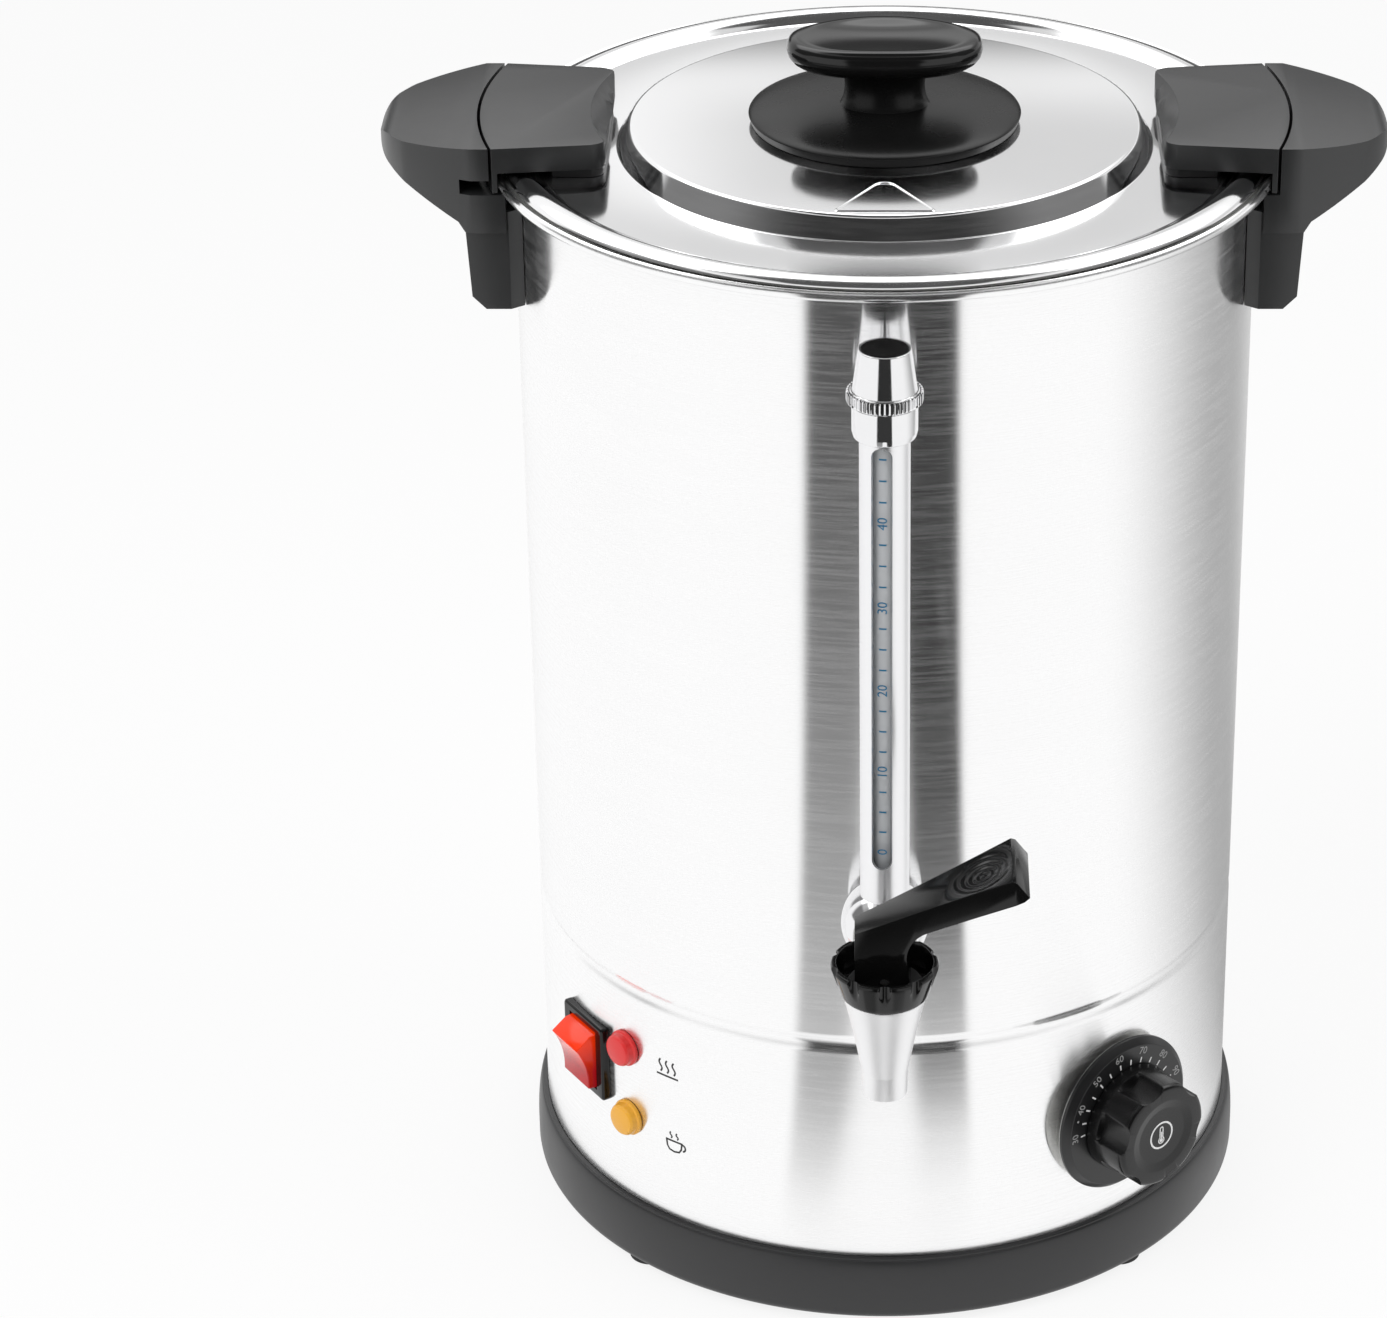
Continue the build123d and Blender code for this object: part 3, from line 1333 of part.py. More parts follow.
# ---------------------------------------------------------------- cord entry
with BuildPart() as cable_gland:
    with BuildSketch(round_plane(180, gland_height, 0)):
        with BuildLine():
            Polyline(
                (gland_bore, body_radius + gland_out), (gland_bore, body_inside - gland_in),
                (gland_thread_radius, body_inside - gland_in),
                (gland_thread_radius, body_radius + 0.2), (gland_radius, body_radius + 0.2),
                (gland_radius, body_radius + gland_out - 6),
            )
            ThreePointArc(
                (gland_radius, body_radius + gland_out - 6),
                (gland_radius - 1.4, body_radius + gland_out - 1.8),
                (gland_bore + 1.6, body_radius + gland_out),
            )
            Line((gland_bore + 1.6, body_radius + gland_out), (gland_bore, body_radius + gland_out))
        make_face()
    revolve(axis=out_axis(180, gland_height))
save(cable_gland, "cable_gland")

with BuildPart() as cable_gland_nut:
    with BuildSketch(wall_plane(180, gland_height, body_inside - 0.7)):
        RegularPolygon(gland_radius, 6, major_radius=False)
        Circle(gland_thread_radius + 0.05, mode=Mode.SUBTRACT)
    extrude(amount=-gland_nut_height)
save(cable_gland_nut, "cable_gland_nut")

# ---------------------------------------------------------------- percolator
bell_bottom = floor_top - well_depth + 0.2
collar_seat = basket_base_height - 0.2
with BuildPart() as perk_tube:
    with BuildSketch(Plane.XZ):
        Polygon(
            (tube_radius - tube_wall, bell_bottom + bell_height - 1), (bell_radius - 0.8, bell_bottom),
            (bell_radius, bell_bottom), (bell_radius, bell_bottom + 1.2),
            (tube_radius, bell_bottom + bell_height + 1), (tube_radius, bell_bottom + tube_length),
            (tube_radius - tube_wall, bell_bottom + tube_length),
            align=None,
        )
        Polygon(
            (tube_radius - tube_wall / 2, collar_seat - 1), (basket_sleeve_radius + 3, collar_seat - 1),
            (basket_sleeve_radius + 3, collar_seat), (tube_radius - tube_wall / 2, collar_seat),
            align=None,
        )
    revolve(axis=Axis.Z)
save(perk_tube, "perk_tube")

basket_top = basket_base_height + basket_height
with BuildPart() as filter_basket:
    with BuildSketch(Plane.XZ):
        Polygon(
            (basket_sleeve_radius, basket_base_height), (basket_radius, basket_base_height),
            (basket_radius, basket_top), (basket_radius - basket_sheet, basket_top),
            (basket_radius - basket_sheet, basket_base_height + basket_sheet),
            (basket_sleeve_radius + basket_sheet, basket_base_height + basket_sheet),
            (basket_sleeve_radius + basket_sheet, basket_top - 4),
            (basket_sleeve_radius, basket_top - 4),
            align=None,
        )
        with Locations((basket_radius + 0.6, basket_top)):
            Circle(basket_bead)
    revolve(axis=Axis.Z)
    with BuildSketch(Plane.XY.offset(basket_base_height - 1)):
        for radius, count in zip(basket_ring_radii, basket_ring_counts):
            with Locations(*on_circle(radius, count)):
                Circle(basket_hole_radius)
    extrude(amount=basket_sheet + 2, mode=Mode.SUBTRACT)
save(filter_basket, "filter_basket")

cover_bottom = basket_top + basket_bead + 0.2
with BuildPart() as basket_cover:
    with BuildSketch(Plane.XZ):
        Polygon(
            (tube_radius + joint_gap, cover_bottom + cover_rise),
            (basket_radius - 18, cover_bottom + cover_rise), (basket_radius - 9, cover_bottom),
            (basket_radius + 1.6, cover_bottom), (basket_radius + 1.6, cover_bottom + basket_sheet),
            (basket_radius - 8.7, cover_bottom + basket_sheet),
            (basket_radius - 17.7, cover_bottom + cover_rise + basket_sheet),
            (tube_radius + joint_gap, cover_bottom + cover_rise + basket_sheet),
            align=None,
        )
    revolve(axis=Axis.Z)
    with BuildSketch(Plane.XY.offset(cover_bottom)):
        for radius, count in zip(cover_ring_radii, cover_ring_counts):
            with Locations(*on_circle(radius, count)):
                Circle(basket_hole_radius)
    extrude(amount=cover_rise + 4, mode=Mode.SUBTRACT)
save(basket_cover, "basket_cover")

# ---------------------------------------------------------------- lid
with BuildPart() as lid_seal:
    with BuildSketch(Plane.XY.offset(flange_level + 0.1)):
        Circle(lid_seal_outer)
        Circle(lid_skirt_radius + joint_gap, mode=Mode.SUBTRACT)
    extrude(amount=lid_seal_thickness)
save(lid_seal, "lid_seal")

lug_screw_places = [
    (side * lug_screw_out, place * lug_screw_spacing / 2) for side in (-1, 1) for place in (-1, 1)
]
crown_radius = (lid_flat_radius + lid_edge_radius) / 2 - 0.3
crown_height = lid_flat_height + lid_roll_rise
edge_height = lid_flat_height + 1.2
with BuildPart() as lid_disc:
    with BuildSketch(Plane.XZ):
        with BuildLine():
            Polyline(
                (lid_flat_radius, lid_flat_height), (plateau_foot_radius, lid_flat_height),
                (plateau_top_radius + 0.6, plateau_top - 1),
            )
            RadiusArc(
                (plateau_top_radius + 0.6, plateau_top - 1), (plateau_top_radius - 1, plateau_top), 1.4
            )
            Polyline(
                (plateau_top_radius - 1, plateau_top), (0, plateau_top), (0, plateau_top - sheet),
                (plateau_top_radius - 1, plateau_top - sheet),
                (plateau_foot_radius - 0.8, lid_flat_height - sheet),
                (lid_flat_radius, lid_flat_height - sheet),
            )
            ThreePointArc(
                (lid_flat_radius, lid_flat_height - sheet), (crown_radius, crown_height - sheet),
                (lid_edge_radius - 0.6, edge_height - 0.7),
            )
            Line((lid_edge_radius - 0.6, edge_height - 0.7), (lid_edge_radius, edge_height - 0.2))
            Line((lid_edge_radius, edge_height - 0.2), (lid_edge_radius - 0.1, edge_height))
            ThreePointArc(
                (lid_edge_radius - 0.1, edge_height), (crown_radius, crown_height),
                (lid_flat_radius, lid_flat_height),
            )
        make_face()
    revolve(axis=Axis.Z)
    with BuildSketch(Plane.XZ):
        Polygon(
            (lid_skirt_radius - sheet, crown_height - sheet / 2),
            (lid_skirt_radius - sheet, crown_height - sheet / 2 - lid_skirt_depth),
            (lid_skirt_radius, crown_height - sheet / 2 - lid_skirt_depth),
            (lid_skirt_radius, crown_height - sheet / 2),
            align=None,
        )
    revolve(axis=Axis.Z)
    mark_depth = mark_side * sin(radians(60))
    with BuildSketch(Plane.XY.offset(plateau_top - 0.2)):
        Polygon(
            (0, -mark_tip_radius), (-mark_side / 2, -mark_tip_radius - mark_depth),
            (mark_side / 2, -mark_tip_radius - mark_depth),
            align=None,
        )
        fillet(vertices(), 2)
    extrude(amount=mark_rise + 0.2, taper=30)
    with BuildSketch(Plane.XY.offset(plateau_top - 2)):
        Circle(knob_screw_radius + 0.05)
    extrude(amount=3, mode=Mode.SUBTRACT)
    with BuildSketch(Plane.XY.offset(lid_flat_height - 2)):
        with Locations(*lug_screw_places):
            Circle(lug_screw_radius + 0.05)
    extrude(amount=3, mode=Mode.SUBTRACT)
save(lid_disc, "lid_disc")

disc_crown = disc_base + base_disc_rise
with BuildPart() as knob_base:
    with BuildSketch(Plane.XZ):
        with BuildLine():
            Polyline(
                (0, disc_crown), (0, disc_base), (base_disc_radius - 0.8, disc_base),
                (base_disc_radius, disc_base + base_disc_edge),
            )
            ThreePointArc(
                (base_disc_radius, disc_base + base_disc_edge),
                (base_disc_radius * 0.68, disc_base + base_disc_rise * 0.82),
                (knob_stem_width / 2 + 1, disc_crown),
            )
            Line((knob_stem_width / 2 + 1, disc_crown), (0, disc_crown))
        make_face()
    revolve(axis=Axis.Z)
    with BuildSketch(Plane.XY.offset(disc_base - 1)):
        Circle(knob_screw_radius + 0.05)
    extrude(amount=base_disc_rise + 2, mode=Mode.SUBTRACT)
save(knob_base, "knob_base")

stem_foot = disc_crown + 0.1
knob_bottom_height = stem_foot + knob_stem_tall
knob_top_height = knob_bottom_height + knob_cap_tall
knob_saddle = (knob_top_width / 2) ** 2 / (2 * knob_dish)
with BuildPart() as lid_knob:
    with BuildSketch(Plane.XY.offset(stem_foot)):
        Ellipse(knob_stem_width / 2, knob_stem_depth / 2)
    with BuildSketch(Plane.XY.offset((stem_foot + knob_bottom_height) / 2)):
        Ellipse(knob_stem_width / 2 - knob_waist, knob_stem_depth / 2 - knob_waist)
    with BuildSketch(Plane.XY.offset(knob_bottom_height + 1)):
        Ellipse(knob_stem_width / 2, knob_stem_depth / 2)
    loft()
    with BuildSketch(Plane.XY.offset(knob_bottom_height)):
        SlotOverall(knob_top_width, knob_top_depth)
    extrude(amount=knob_top_height - knob_bottom_height)
    fillet(lid_knob.edges().group_by(Axis.Z)[-1], 2.4)
    with BuildSketch(Plane.XZ):
        with Locations((0, knob_top_height - knob_dish + knob_saddle)):
            Circle(knob_saddle)
    extrude(amount=knob_top_depth, both=True, mode=Mode.SUBTRACT)
    with BuildSketch(Plane.XY.offset(stem_foot - 1)):
        Circle(knob_screw_radius + 0.02)
    extrude(amount=knob_screw_reach + 1, mode=Mode.SUBTRACT)
save(lid_knob, "lid_knob")

with BuildPart() as knob_screw:
    with BuildSketch(Plane.XY.offset(plateau_top - sheet - 0.1)):
        Circle(knob_screw_head)
    extrude(amount=-2.4)
    with BuildSketch(Plane.XY.offset(plateau_top - sheet - 1)):
        Circle(knob_screw_radius)
    extrude(amount=stem_foot + knob_screw_reach - 0.2 - plateau_top + sheet + 1)
save(knob_screw, "knob_screw")

scoop_axis = lug_inner + lug_scoop_depth - lug_scoop_radius
with BuildPart() as lug_right:
    with BuildSketch(Plane.XY.offset(lip_bottom)) as lug_plan:
        Polygon(
            (lug_inner, -lug_inner_half_width), (lug_inner + 4, -lug_inner_half_width - 2),
            (lug_outer_radius - 5, -lug_half_width), (lug_outer_radius + 2, -lug_half_width),
            (lug_outer_radius + 2, lug_half_width), (lug_outer_radius - 5, lug_half_width),
            (lug_inner + 4, lug_inner_half_width + 2), (lug_inner, lug_inner_half_width),
            align=None,
        )
        fillet(lug_plan.vertices().group_by(Axis.X)[0], radius=lug_corner)
    extrude(amount=handle_top - lip_bottom)
    Cylinder(
        lug_outer_radius, handle_top, align=(Align.CENTER, Align.CENTER, Align.MIN),
        mode=Mode.INTERSECT,
    )
    Cylinder(
        lip_inner_radius, lug_bottom, align=(Align.CENTER, Align.CENTER, Align.MIN),
        mode=Mode.SUBTRACT,
    )
    with Locations((scoop_axis, 0, lug_bottom)):
        Cone(
            lug_scoop_radius - lug_scoop_depth + lug_scoop_foot, lug_scoop_radius,
            handle_top - lug_bottom, align=(Align.CENTER, Align.CENTER, Align.MIN),
            mode=Mode.SUBTRACT,
        )
    with BuildSketch(Plane.XY.offset(lug_bottom - 1)):
        with Locations(*lug_screw_places):
            Circle(lug_screw_radius + 0.05)
    extrude(amount=lug_screw_reach + 1, mode=Mode.SUBTRACT)
save(lug_right, "lug_right")

with BuildPart() as lug_left:
    add(lug_right.part.rotate(Axis.Z, 180))
save(lug_left, "lug_left")

clamp_bottom = lid_flat_height + 0.05
clamp_inner = lug_inner + clamp_inset
with BuildPart() as lug_clamps:
    with BuildSketch(Plane.XY.offset(clamp_bottom)) as clamp_plan:
        Circle(clamp_outer)
        Circle(plateau_foot_radius + 1, mode=Mode.SUBTRACT)
        Rectangle(2 * clamp_outer, 2 * (lug_inner_half_width - clamp_inset), mode=Mode.INTERSECT)
        Rectangle(2 * clamp_inner, 2 * clamp_outer, mode=Mode.SUBTRACT)
        fillet(
            clamp_plan.vertices().filter_by(lambda corner: abs(corner.X) < clamp_inner + 1),
            radius=lug_corner,
        )
        with Locations(*lug_screw_places):
            Circle(lug_screw_radius + 0.05, mode=Mode.SUBTRACT)
    extrude(amount=lug_bottom - 0.05 - clamp_bottom)
save(lug_clamps, "lug_clamps")

with BuildPart() as lug_screws:
    with BuildSketch(Plane.XY.offset(lid_flat_height - sheet - 0.05)):
        with Locations(*lug_screw_places):
            Circle(lug_screw_head)
    extrude(amount=-2.2)
    with BuildSketch(Plane.XY.offset(lid_flat_height - sheet - 1)):
        with Locations(*lug_screw_places):
            Circle(lug_screw_radius)
    extrude(amount=lug_bottom + lug_screw_reach - 0.2 - lid_flat_height + sheet + 1)
save(lug_screws, "lug_screws")
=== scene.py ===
"""Looks of an eight-litre coffee urn: brushed steel drum, black handles, sight gauge, tap and dial.

Sizes in the classes are millimetres in the urn's own frame: origin between the feet, the tap
towards -Y, +Z up. They become metres when a mesh is made.
"""
from __future__ import annotations

import logging
import math
from dataclasses import dataclass
from enum import Enum
from typing import Callable, Iterable, Sequence

import bmesh
import bpy
from mathutils import Matrix, Vector

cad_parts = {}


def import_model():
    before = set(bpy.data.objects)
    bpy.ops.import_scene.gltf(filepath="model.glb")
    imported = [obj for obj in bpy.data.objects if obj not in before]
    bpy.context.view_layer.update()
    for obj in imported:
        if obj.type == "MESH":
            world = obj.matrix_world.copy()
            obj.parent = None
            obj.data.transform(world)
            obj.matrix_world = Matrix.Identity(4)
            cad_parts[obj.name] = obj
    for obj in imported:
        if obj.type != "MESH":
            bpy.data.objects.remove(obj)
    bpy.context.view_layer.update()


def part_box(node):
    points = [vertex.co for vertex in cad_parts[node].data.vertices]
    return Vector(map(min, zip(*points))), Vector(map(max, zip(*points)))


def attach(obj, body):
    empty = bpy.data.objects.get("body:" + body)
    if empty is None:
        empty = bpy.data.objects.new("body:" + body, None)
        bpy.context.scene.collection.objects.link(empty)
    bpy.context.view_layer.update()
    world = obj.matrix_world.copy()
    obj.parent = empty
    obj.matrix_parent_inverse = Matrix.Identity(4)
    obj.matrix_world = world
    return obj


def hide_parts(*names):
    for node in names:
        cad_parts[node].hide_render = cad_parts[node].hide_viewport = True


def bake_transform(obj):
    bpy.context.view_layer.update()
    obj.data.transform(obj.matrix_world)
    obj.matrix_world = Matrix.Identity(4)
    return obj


LOG = logging.getLogger("urn")
MM = 0.001
FULL = 2 * math.pi
SHARP = math.radians(32)
SOFT_SHARP = math.radians(60)
EASED_FROM = math.radians(34)
FLAT_WITHIN = math.radians(0.8)
SAME_POINT = 1e-4
SAME_CAD_POINT = 2e-3
ON_AXIS = 1e-6
FIGURE_SHARE = 0.7
PRINT = (-0.02, 0.04)

Pair = tuple[float, float]
Colour = tuple[float, float, float]
Outline = Sequence[Pair]
Rings = Iterable[Iterable[Sequence[float]]]
Place = Callable[[float, float, float], Vector]
Rule = Callable[[float, float, float], float]
Mesh = bmesh.types.BMesh
Piece = bpy.types.Object


# ------------------------------------------------------------------ places and outlines
def upright(x: float = 0.0, y: float = 0.0, z: float = 0.0) -> Matrix:
    """Frame of a piece turned about a vertical line."""
    return Matrix.Translation((x, y, z))


def on_wall(azimuth: float, height: float, out: float = 0.0) -> Matrix:
    """Frame on a plane facing out of the drum.

    Args:
        azimuth: degrees round the drum from the tap, positive to the right.
        height: height of the frame's origin.
        out: distance of the origin from the drum's axis.

    Returns:
        A matrix whose x is to the right, y up and z out of the drum.
    """
    turn = math.radians(azimuth)
    x_dir = Vector((math.cos(turn), math.sin(turn), 0))
    z_dir = Vector((math.sin(turn), -math.cos(turn), 0))
    turned_axes = Matrix((x_dir, Vector((0, 0, 1)), z_dir)).transposed().to_4x4()
    return Matrix.Translation(z_dir * out + Vector((0, 0, height))) @ turned_axes


def flat(frame: Matrix) -> Place:
    """Rule that puts (across, up, out) on a frame's flat face.

    Args:
        frame: where the face is; its third axis points out.

    Returns:
        The rule.
    """

    def place(across: float, up: float, lift: float) -> Vector:
        """Point on the face."""
        return frame @ Vector((across, up, lift))

    return place


def wrapped(radius: float, azimuth: float, height: float = 0.0) -> Place:
    """Rule that wraps (across, up, out) round an upright cylinder.

    Args:
        radius: radius of the cylinder.
        azimuth: where across is zero, in degrees from the front.
        height: where up is zero.

    Returns:
        The rule, about the z axis.
    """

    def place(across: float, up: float, lift: float) -> Vector:
        """Point on the cylinder."""
        angle, reach = math.radians(azimuth) + across / radius, radius + lift
        return Vector((reach * math.sin(angle), -reach * math.cos(angle), up + height))

    return place


def span(low: float, high: float, steps: int) -> list[float]:
    """Evenly spaced values from low to high, both included."""
    return [low + (high - low) * i / steps for i in range(steps + 1)]


def turns(count: int) -> list[float]:
    """Angles of one full turn, in radians."""
    return [FULL * i / count for i in range(count)]


def arc(cx: float, cy: float, radius: float, start: float, end: float, steps: int = 12) -> list[Pair]:
    """Points of an arc between two angles in degrees."""
    angles = [math.radians(a) for a in span(start, end, steps)]
    return [(cx + radius * math.cos(a), cy + radius * math.sin(a)) for a in angles]


def rounded(points: Sequence[tuple[float, ...]], closed: bool = False, steps: int = 5) -> list[Pair]:
    """Outline with its corners turned into arcs.

    Args:
        points: corners as (across, along) or (across, along, radius).
        closed: whether the first and the last corner are rounded too.
        steps: runs in each arc.

    Returns:
        The points of the finished outline.
    """
    made: list[Pair] = []
    count = len(points)
    for i, corner in enumerate(points):
        here = Vector(corner[:2])
        radius = corner[2] if len(corner) > 2 else 0.0
        if not radius or (not closed and i in (0, count - 1)):
            made.append((here.x, here.y))
            continue
        before = Vector(points[i - 1][:2]) - here
        after = Vector(points[(i + 1) % count][:2]) - here
        half = before.angle(after) / 2
        reach = min(radius / math.tan(half), before.length * 0.49, after.length * 0.49)
        one, two = before.normalized(), after.normalized()
        centre = here + (one + two).normalized() * (reach * math.tan(half) / math.sin(half))
        first, last = here + one * reach - centre, here + two * reach - centre
        for angle in span(0, -first.angle_signed(last), steps):
            spun = Matrix.Rotation(angle, 2) @ first
            made.append((centre.x + spun.x, centre.y + spun.y))
    return made


def sleeve(inner: float, outer: float, low: float, high: float, ease: float = 0.0) -> list[Pair]:
    """Outline of a tube, or of a rod where inner is zero, with its outer corners eased."""
    return rounded([(inner, low), (outer, low, ease), (outer, high, ease), (inner, high)])


def divided(outline: list[Pair], longest: float, beyond: float = 0.0) -> list[Pair]:
    """Split the long runs of an outline.

    Args:
        outline: the outline; it joins its start, unless it ends on the axis.
        longest: length of a run.
        beyond: runs nearer to the axis than this stay whole.

    Returns:
        The outline with the added points.
    """
    made: list[Pair] = []
    ends_on_axis = outline[-1][0] < ON_AXIS
    for one, two in zip(outline, outline[1:] if ends_on_axis else outline[1:] + outline[:1]):
        runs = max(1, round(math.dist(one, two) / longest)) if min(one[0], two[0]) > beyond else 1
        made += list(zip(span(one[0], two[0], runs), span(one[1], two[1], runs)))[:-1]
    return made + outline[-1:] if ends_on_axis else made


def scalloped(
    count: int, centre: float, hollow: float, first: float, low: float = -math.inf, inner: float = 0.0
) -> Rule:
    """Rule that presses round hollows into the outside of a turned shape.

    Args:
        count: number of hollows.
        centre: radius of the circle on which their centres lie.
        hollow: radius of each hollow.
        first: angle of the first one, in degrees.
        low: the shape stays round below this height.
        inner: the shape stays round within this radius.

    Returns:
        The rule, for lathe.
    """
    step = FULL / count

    def rule(radius: float, height: float, angle: float) -> float:
        """Radius at an angle.

        Args:
            radius: radius of the plain shape.
            height: height on the shape.
            angle: angle in radians.

        Returns:
            The radius, less where a hollow is.
        """
        off = (angle - math.radians(first) + step / 2) % step - step / 2
        across = centre * math.sin(off)
        if height < low or radius < inner or abs(across) >= hollow:
            return radius
        return min(radius, centre * math.cos(off) - math.sqrt(hollow**2 - across**2))

    return rule


# ------------------------------------------------------------------ meshes
def finish_mesh(bm: Mesh, name: str, sharp: float = SHARP) -> Piece:
    """Turn a bmesh in millimetres into a smooth-shaded object in metres.

    Args:
        bm: the mesh; it is freed.
        name: name of the object.
        sharp: edges bent by more than this angle stay sharp.

    Returns:
        The linked object, at the origin.
    """
    bmesh.ops.remove_doubles(bm, verts=bm.verts, dist=SAME_POINT)
    bmesh.ops.recalc_face_normals(bm, faces=bm.faces)
    bmesh.ops.scale(bm, vec=(MM, MM, MM), verts=bm.verts)
    mesh = bpy.data.meshes.new(name)
    bm.to_mesh(mesh)
    bm.free()
    mesh.shade_smooth()
    mesh.set_sharp_from_angle(angle=sharp)
    made = bpy.data.objects.new(name, mesh)
    bpy.context.scene.collection.objects.link(made)
    return made


def skin(bm: Mesh, rings: Rings, loop: bool = False, caps: bool = False) -> list[list[bmesh.types.BMVert]]:
    """Join rings of points with faces.

    Args:
        bm: the mesh to add to, in millimetres.
        rings: points ring by ring; a ring of one point is a pole.
        loop: whether the last ring joins the first.
        caps: whether a flat face closes each end.

    Returns:
        The new vertices, ring by ring.
    """
    made = [[bm.verts.new(point) for point in ring] for ring in rings]
    for low, high in zip(made, made[1:] + made[:1] if loop else made[1:]):
        steps = max(len(low), len(high))
        for i in range(steps):
            j = (i + 1) % steps
            corners = low[i % len(low)], low[j % len(low)], high[j % len(high)], high[i % len(high)]
            bm.faces.new(list(dict.fromkeys(corners)))
    if caps:
        bm.faces.new(made[0][::-1])
        bm.faces.new(made[-1])
    return made


def loft(name: str, rings: Rings, loop: bool = False, sharp: float = SHARP) -> Piece:
    """One object from rings of points, with flat ends unless it is a loop.

    Args:
        name: name of the object.
        rings: points ring by ring.
        loop: whether the last ring joins the first.
        sharp: edges bent by more than this angle stay sharp.

    Returns:
        The linked object.
    """
    bm = bmesh.new()
    skin(bm, rings, loop, caps=not loop)
    return finish_mesh(bm, name, sharp)


def lathe(bm: Mesh, outline: Outline, place: Matrix, segments: int = 128, rule: Rule | None = None) -> None:
    """Add a turned shape to a mesh.

    Args:
        bm: the mesh to add to, in millimetres.
        outline: (radius, height) points; it joins its start, unless it ends on the axis.
        place: frame of the shape, turned about its z axis.
        segments: steps round the axis.
        rule: gives the radius from (radius, height, angle), for a shape that isn't round.
    """

    def ring(radius: float, height: float) -> list[Vector]:
        """Points at one height, or the pole.

        Args:
            radius: distance from the axis.
            height: place along it.

        Returns:
            The points in order.
        """
        angles = turns(segments) if radius > ON_AXIS else [0.0]
        reaches = [rule(radius, height, a) if rule else radius for a in angles]
        return [place @ Vector((r * math.cos(a), r * math.sin(a), height)) for r, a in zip(reaches, angles)]

    skin(bm, [ring(*point) for point in outline], loop=outline[-1][0] > ON_AXIS)


def turned(
    name: str, outline: Outline, place: Matrix, segments: int = 128, rule: Rule | None = None
) -> Piece:
    """One turned shape as an object.

    Args:
        name: name of the object.
        outline: (radius, height) points; it joins its start, unless it ends on the axis.
        place: frame of the shape, turned about its z axis.
        segments: steps round the axis.
        rule: gives the radius from (radius, height, angle), for a shape that isn't round.

    Returns:
        The linked object.
    """
    bm = bmesh.new()
    lathe(bm, outline, place, segments, rule)
    return finish_mesh(bm, name)


def band(bm: Mesh, path: Outline, width: float, out: Pair, place: Place, closed: bool = False) -> None:
    """Add a flat printed line that follows a path.

    Args:
        bm: the mesh to add to.
        path: points of the line's middle.
        width: width of the line.
        out: heights of the line's back and face over the surface.
        place: puts (across, up, out) on the surface.
        closed: whether the line joins its own start.
    """
    last = len(path) - 1
    rows = []
    for i, (x, y) in enumerate(path):
        ahead = Vector(path[(i + 1) % len(path) if closed else min(i + 1, last)])
        side = (ahead - Vector(path[i - 1 if closed or i else 0])).normalized() * width / 2
        corners = (-1, out[0]), (1, out[0]), (1, out[1]), (-1, out[1])
        rows.append([place(x - s * side.y, y + s * side.x, lift) for s, lift in corners])
    skin(bm, rows, loop=closed, caps=not closed)


def lettered(bm: Mesh, words: str, size: float, place: Matrix, thick: float) -> None:
    """Add plain numerals, centred on a frame.

    Args:
        bm: the mesh to add to.
        words: the figures.
        size: their height.
        place: frame of the figures, z out of the surface.
        thick: how far the ink stands out.
    """
    curve = bpy.data.curves.new("figures", "FONT")
    curve.body = words
    curve.size = size / FIGURE_SHARE
    curve.align_x = "CENTER"
    curve.align_y = "CENTER"
    curve.extrude = thick
    curve.resolution_u = 3
    holder = bpy.data.objects.new("figures", curve)
    bpy.context.scene.collection.objects.link(holder)
    graph = bpy.context.evaluated_depsgraph_get()
    mesh = bpy.data.meshes.new_from_object(holder.evaluated_get(graph))
    mesh.transform(place)
    bm.from_mesh(mesh)
    bpy.data.objects.remove(holder)
    bpy.data.curves.remove(curve)
    bpy.data.meshes.remove(mesh)


def baked(piece: Piece) -> Piece:
    """Apply a piece's modifiers to its mesh, and shade it smooth again.

    Args:
        piece: the object with the modifiers.

    Returns:
        The same object.
    """
    graph = bpy.context.evaluated_depsgraph_get()
    mesh = bpy.data.meshes.new_from_object(piece.evaluated_get(graph), depsgraph=graph)
    mesh.name = piece.name
    piece.modifiers.clear()
    piece.data = mesh
    mesh.shade_smooth()
    mesh.set_sharp_from_angle(angle=SHARP)
    return piece


def eased_copy(name: str, nodes: Iterable[str], edge: float, steps: int = 3) -> Piece:
    """Copy CAD nodes into one mesh with its edges rounded over.

    Args:
        name: name of the new object.
        nodes: the CAD nodes to copy.
        edge: width of the rounding, in millimetres.
        steps: faces across each rounding.

    Returns:
        The linked object; the CAD nodes are left as they are.
    """
    bm = bmesh.new()
    for node in nodes:
        bm.from_mesh(bpy.data.objects[node].data)
    bmesh.ops.scale(bm, vec=(1 / MM,) * 3, verts=bm.verts)
    bmesh.ops.remove_doubles(bm, verts=bm.verts, dist=SAME_CAD_POINT)
    bmesh.ops.dissolve_limit(bm, angle_limit=FLAT_WITHIN, verts=bm.verts, edges=bm.edges)
    made = finish_mesh(bm, name)
    bevel = made.modifiers.new("edges", "BEVEL")
    bevel.width = edge * MM
    bevel.segments = steps
    bevel.limit_method = "ANGLE"
    bevel.angle_limit = EASED_FROM
    bevel.harden_normals = False
    return baked(made)


def seat_on_wall(piece: Piece, azimuth: float, radius: float) -> None:
    """Pull every point that lies inside the drum out to its wall.

    Args:
        piece: a mesh that stands on the drum.
        azimuth: where it stands, in degrees.
        radius: radius of the wall.
    """
    turn = math.radians(azimuth)
    out = Vector((math.sin(turn), -math.cos(turn), 0))
    side = Vector((math.cos(turn), math.sin(turn), 0))
    for vert in piece.data.vertices:
        across, reach = vert.co.dot(side), vert.co.dot(out)
        wall = math.sqrt(max((radius * MM) ** 2 - across**2, 0))
        if reach < wall:
            vert.co += out * (wall - reach)


